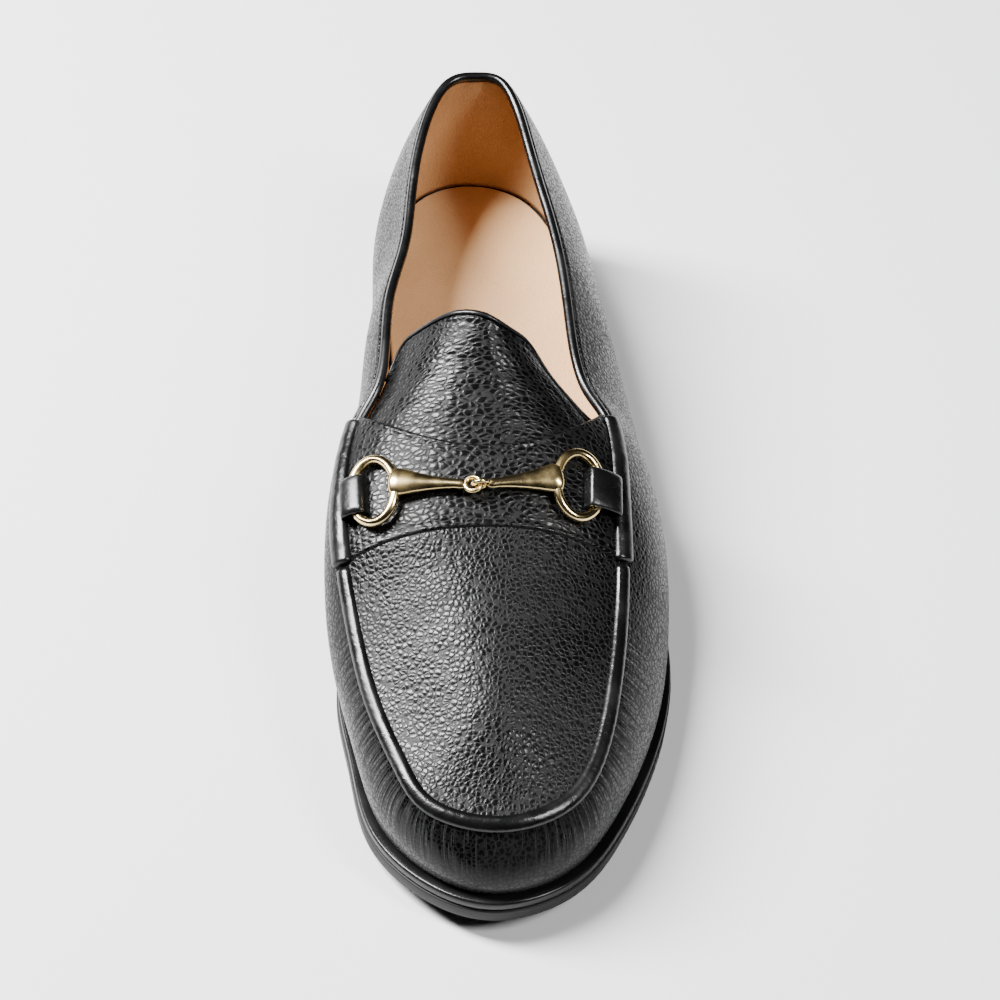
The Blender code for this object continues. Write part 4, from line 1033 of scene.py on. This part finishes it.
def makeStrap():
    def curve(rollPlace, centrePlace):
        return lambda t: centrePlace + (rollPlace - centrePlace) * np.abs(t) ** places["strapFlare"]

    def edge(way):
        return qAway(way, trimLook["rollWidth"] / 2 + 0.1 * mm)

    way, q = overGrid(strapLook["across"], curve(places["strapTopRoll"], places["strapTopCentre"]),
                      curve(places["strapFootRoll"], places["strapFootCentre"]), strapLook["rows"], edge)
    low = raised(way, q, 0.1 * mm)
    head, foot, left, right = edgeDistance(low)
    near = np.minimum(head, foot)
    crown = np.sqrt(np.clip(1 - (1 - np.clip(near / strapLook["edge"], 0, 1)) ** 2, 0, 1))
    groove = -strapLook["groove"] * np.exp(-((near - strapLook["grooveInset"]) / (0.5 * mm)) ** 2)
    sides = np.minimum(left, right)
    # soft swellings near the rolls, where the strap is pulled down
    swell = strapLook["swell"] * wavy(sides * 300 + head * 60, 61) * smooth(3 * mm, 9 * mm, near)
    swell = swell * (1 - smooth(14 * mm, 24 * mm, sides))
    height = layers["gap"] + strapLook["thick"] * (0.25 + 0.75 * crown) + groove + swell
    top = raised(way, q, height)
    solid("strapLeather", slab(top, low), strapLeather, "saddle_strap")


# the bit
bitLook = {"ringAcross": 19 * mm, "ringAlong": 25 * mm, "ringWire": 3.1 * mm, "eyeOuter": 6.4 * mm,
           "eyeWire": 1.6 * mm, "endWidth": 9.8 * mm, "endThick": 5.6 * mm, "outerRoom": 6.0 * mm,
           "innerRoom": 2.6 * mm, "ringLift": 0.8 * mm, "ringTip": 4 * mm, "lift": 3.8 * mm,
           "clearance": 0.3 * mm, "keeperWidth": 12.4 * mm}
# share of the way from ring to eye, half width share, half thickness share
barShape = {"share":     (-0.10, -0.085, -0.04, 0.03, 0.12, 0.30, 0.50, 0.70, 0.86, 0.96, 1.02),
            "width":     (0.30, 0.74, 0.95, 1.00, 0.93, 0.72, 0.53, 0.40, 0.34, 0.36, 0.20),
            "thickness": (0.25, 0.62, 0.86, 0.92, 0.86, 0.72, 0.58, 0.48, 0.42, 0.38, 0.22)}


def torus(centre, side, up, halfSide, halfUp, minor, around=96, sides=20):
    # a round wire bent to an oval; the half widths reach to the wire's middle
    turn = np.arange(around) / around * 2 * math.pi
    cross = np.arange(sides) / sides * 2 * math.pi
    normal = np.cross(side, up)
    spots = centre + halfSide * np.cos(turn)[:, None] * side + halfUp * np.sin(turn)[:, None] * up
    facing = halfUp * np.cos(turn)[:, None] * side + halfSide * np.sin(turn)[:, None] * up
    facing = unit(facing)
    return (spots[:, None] + facing[:, None] * (minor * np.cos(cross))[None, :, None]
            + normal * (minor * np.sin(cross))[None, :, None])


def ringRoom(side):
    return bitLook["outerRoom"] if side > 0 else bitLook["innerRoom"]


def bitFrame(side):
    # ring centre, towards the middle, along the shoe, off the leather
    way = wayAt(np.array([places["ring"]]), side)
    reach = trimLook["rollWidth"] / 2 + ringRoom(side) + bitLook["ringAcross"] / 2
    q = qAway(way, np.array([reach]))
    tip = qAway(way, np.array([reach - bitLook["ringTip"]]))
    lift = layers["gap"] + strapLook["thick"] + bitLook["ringLift"] + bitLook["ringWire"] / 2
    centre = raised(way, q, np.array([lift]))[0]
    normal = skinNormal(way, tip)[0]
    along = np.array([0, -1.0, 0])
    along = unit(along - normal * (along @ normal))
    inward = np.cross(along, normal)
    return centre, -inward if inward[0] * side > 0 else inward, along, normal


def skinHeight(x, along):
    # height of the instep at x, on the cross line that lies that far along
    top = skin(wayAt(np.array([along]), 1), np.array([2.0]))[0]
    side = 1 if x > top[0] else -1
    across = skin(wayAt(np.full(201, along), side), np.linspace(1, 2, 201))
    return np.interp(side * -x, side * -across[:, 0], across[:, 2])


def bitMiddle(starts):
    # the joint of the bars, as high as it takes for both straight bars to clear the strap
    x = (starts[1][0] + starts[-1][0]) / 2
    above = layers["gap"] + strapLook["thick"]
    lowest = skinHeight(x, places["bitCentre"]) + above + bitLook["lift"]
    for start in starts.values():
        for share in np.linspace(0.3, 1, 12):
            along = places["ring"] + (places["bitCentre"] - places["ring"]) * share
            half = np.interp(share, barShape["share"], barShape["thickness"]) * bitLook["endThick"] / 2
            need = (skinHeight(start[0] + (x - start[0]) * share, along) + above
                    + bitLook["clearance"] + half)
            lowest = max(lowest, (need - start[2] * (1 - share)) / share)
    return np.array([x, -places["bitCentre"] * shoe["soleLength"], lowest])


def makeBit():
    halfSide = (bitLook["ringAcross"] - bitLook["ringWire"]) / 2
    halfUp = (bitLook["ringAlong"] - bitLook["ringWire"]) / 2
    eyeMajor = (bitLook["eyeOuter"] - bitLook["eyeWire"]) / 2
    frames = {side: bitFrame(side) for side in (1, -1)}
    starts = {side: f[0] + f[1] * halfSide for side, f in frames.items()}
    middle = bitMiddle(starts)
    for name, side in (("Outer", 1), ("Inner", -1)):
        centre, inward, along, _ = frames[side]
        node = "lateral" if side > 0 else "medial"
        ring = torus(centre, inward, along, halfSide, halfUp, bitLook["ringWire"] / 2)
        solid("bitRing" + name, tube(ring, True), gold, "bit_ring_" + node)
        eye = middle + np.array([side * eyeMajor / 2, 0, 0])
        axis = eye - starts[side]
        length = np.linalg.norm(axis)
        axis = axis / length
        wide = unit(along - axis * (along @ axis))
        thin = np.cross(axis, wide)
        share = np.linspace(-0.10, 1.02, 70)
        halfWide = np.interp(share, barShape["share"], barShape["width"]) * bitLook["endWidth"] / 2
        halfThin = np.interp(share, barShape["share"], barShape["thickness"]) * bitLook["endThick"] / 2
        for _ in range(3):
            halfWide[1:-1] = (halfWide[:-2] + 2 * halfWide[1:-1] + halfWide[2:]) / 4
            halfThin[1:-1] = (halfThin[:-2] + 2 * halfThin[1:-1] + halfThin[2:]) / 4
        turn = np.arange(28) / 28 * 2 * math.pi
        spots = starts[side] + axis * (share * (length - eyeMajor))[:, None]
        sections = (spots[:, None] + wide * (np.cos(turn)[None] * halfWide[:, None])[..., None]
                    + thin * (np.sin(turn)[None] * halfThin[:, None])[..., None])
        verts, faces = tube(sections)
        flat = wide if side < 0 else thin
        loop = torus(eye, axis, flat, eyeMajor, eyeMajor, bitLook["eyeWire"] / 2, 48, 16)
        more, moreFaces = tube(loop, True)
        faces = list(faces) + [tuple(int(v) + len(verts) for v in f) for f in moreFaces]
        solid("bitBar" + name, (np.concatenate([verts, more]), faces), gold, "bit_bar_" + node)


# leather loop over the outer side of each ring, in mm: whether the row stands past the ring's room,
# reach from the roll and rise of the inner and the outer face
keeperShape = {"past":     (0, 0, 0, 1, 1, 1),
               "reachIn":  (1.0, 1.0, 1.9, 3.2, 5.1, 5.4), "riseIn":  (0.0, 2.5, 4.1, 4.1, 2.7, 0.0),
               "reachOut": (0.2, 0.2, 1.4, 3.6, 6.0, 6.3), "riseOut": (0.0, 2.8, 4.9, 5.0, 3.3, 0.0)}


def makeKeepers():
    half = bitLook["keeperWidth"] / 2 / shoe["soleLength"]
    fine = np.linspace(0, 5, 46)
    count = 22
    for name, side in (("Outer", 1), ("Inner", -1)):
        way = wayAt(np.linspace(places["ring"] - half, places["ring"] + half, count), side)
        rim = np.minimum(np.arange(count), np.arange(count)[::-1]) / 2.5
        soft = 1 - 0.10 * (1 - np.clip(rim, 0, 1)) ** 2
        base = layers["gap"] * 2 + strapLook["thick"]
        rows = {}
        for face in ("In", "Out"):
            spots = np.array(keeperShape["reach" + face]) * mm
            spots = spots + np.array(keeperShape["past"]) * ringRoom(side)
            reach = openCurve(range(6), spots, fine)[0]
            rise = np.maximum(openCurve(range(6), keeperShape["rise" + face], fine)[0], 0) * mm
            grid = np.broadcast_to(way, (len(fine), count))
            q = qAway(grid, (trimLook["rollWidth"] / 2 + layers["gap"] + reach)[:, None])
            lift = rise[:, None] * (soft[None] if face == "Out" else 1)
            rows[face] = raised(grid, q, base + lift)
        solid("keeper" + name, slab(rows["Out"], rows["In"]), rollLeather,
              "ring_keeper_" + ("lateral" if side > 0 else "medial"))


makeSole()
makeHeel()
print("sole and heel made")
makeUpper()
print("upper made")
makeSeamBead()
makeRolls()
makeCollar()
print("trim made")
makeTongue()
makeStrap()
makeKeepers()
makeBit()
print("tongue, strap and bit made")

# floor, light, camera
studio = {"floor": 6.0, "world": 0.0, "aim": (641, 540), "frameScale": 1.22, "focal": 2200.0}


def addFloor():
    size = studio["floor"] / 2
    mesh = bpy.data.meshes.new("floor")
    corners = [(-size, -size, 0), (size, -size, 0), (size, size, 0), (-size, size, 0)]
    mesh.from_pydata(corners, [], [(0, 1, 2, 3)])
    material, tree, shader, place = startMaterial("pale floor", Roughness=0.75)
    cloud = patchMask(tree, place, 1.2, 0.3, 0.7)
    put(tree, mixColour(tree, cloud, (0.50, 0.50, 0.50, 1), (0.485, 0.485, 0.488, 1)),
        shader.inputs["Base Color"])
    mesh.materials.append(material)
    obj = bpy.data.objects.new("floor", mesh)
    bpy.context.scene.collection.objects.link(obj)


def addLight(name, place, towards, size, power, colour=(1, 1, 1)):
    light = bpy.data.lights.new(name, "AREA")
    light.shape = "RECTANGLE"
    light.size, light.size_y = size
    light.energy = power
    light.color = colour
    obj = bpy.data.objects.new(name, light)
    obj.location = place
    obj.rotation_euler = (Vector(towards) - Vector(place)).to_track_quat("-Z", "Y").to_euler()
    bpy.context.scene.collection.objects.link(obj)


def addCamera():
    # placed where the photograph was taken from, turned so that the one shoe is in the middle
    spot = Vector((-56.59 * mm + shoe["shift"][0], -716.89 * mm + shoe["shift"][1], 708.47 * mm))
    yaw, pitch, roll = 0.0066, 0.8592, -0.0035
    forward = Vector((math.sin(yaw) * math.cos(pitch), math.cos(yaw) * math.cos(pitch), -math.sin(pitch)))
    right = Vector((math.cos(yaw), -math.sin(yaw), 0))
    up = right.cross(forward)
    right, up = right * math.cos(roll) + up * math.sin(roll), up * math.cos(roll) - right * math.sin(roll)
    aimX, aimY = studio["aim"]
    aim = (forward * studio["focal"] + right * (aimX - 500) - up * (aimY - 500)).normalized()
    right = (right - aim * right.dot(aim)).normalized()
    up = right.cross(aim)
    data = bpy.data.cameras.new("camera")
    data.lens = studio["focal"] * studio["frameScale"] / 1000 * 36
    data.sensor_width = 36
    data.clip_start = 0.01
    obj = bpy.data.objects.new("camera", data)
    obj.matrix_world = Matrix.Translation(spot) @ Matrix((right, up, -aim)).transposed().to_4x4()
    bpy.context.scene.collection.objects.link(obj)
    bpy.context.scene.camera = obj


addFloor()
addLight("leftSoftbox", (-0.80, 0.28, 1.15), (0, -0.03, 0.05), (0.27, 0.95), 165)
addLight("rightSoftbox", (0.70, -0.45, 1.15), (0, 0.02, 0.06), (0.15, 0.60), 24)
world = bpy.data.worlds.new("studio")
world.use_nodes = True
world.node_tree.nodes["Background"].inputs["Color"].default_value = (1, 1, 1, 1)
world.node_tree.nodes["Background"].inputs["Strength"].default_value = studio["world"]
bpy.context.scene.world = world
addCamera()
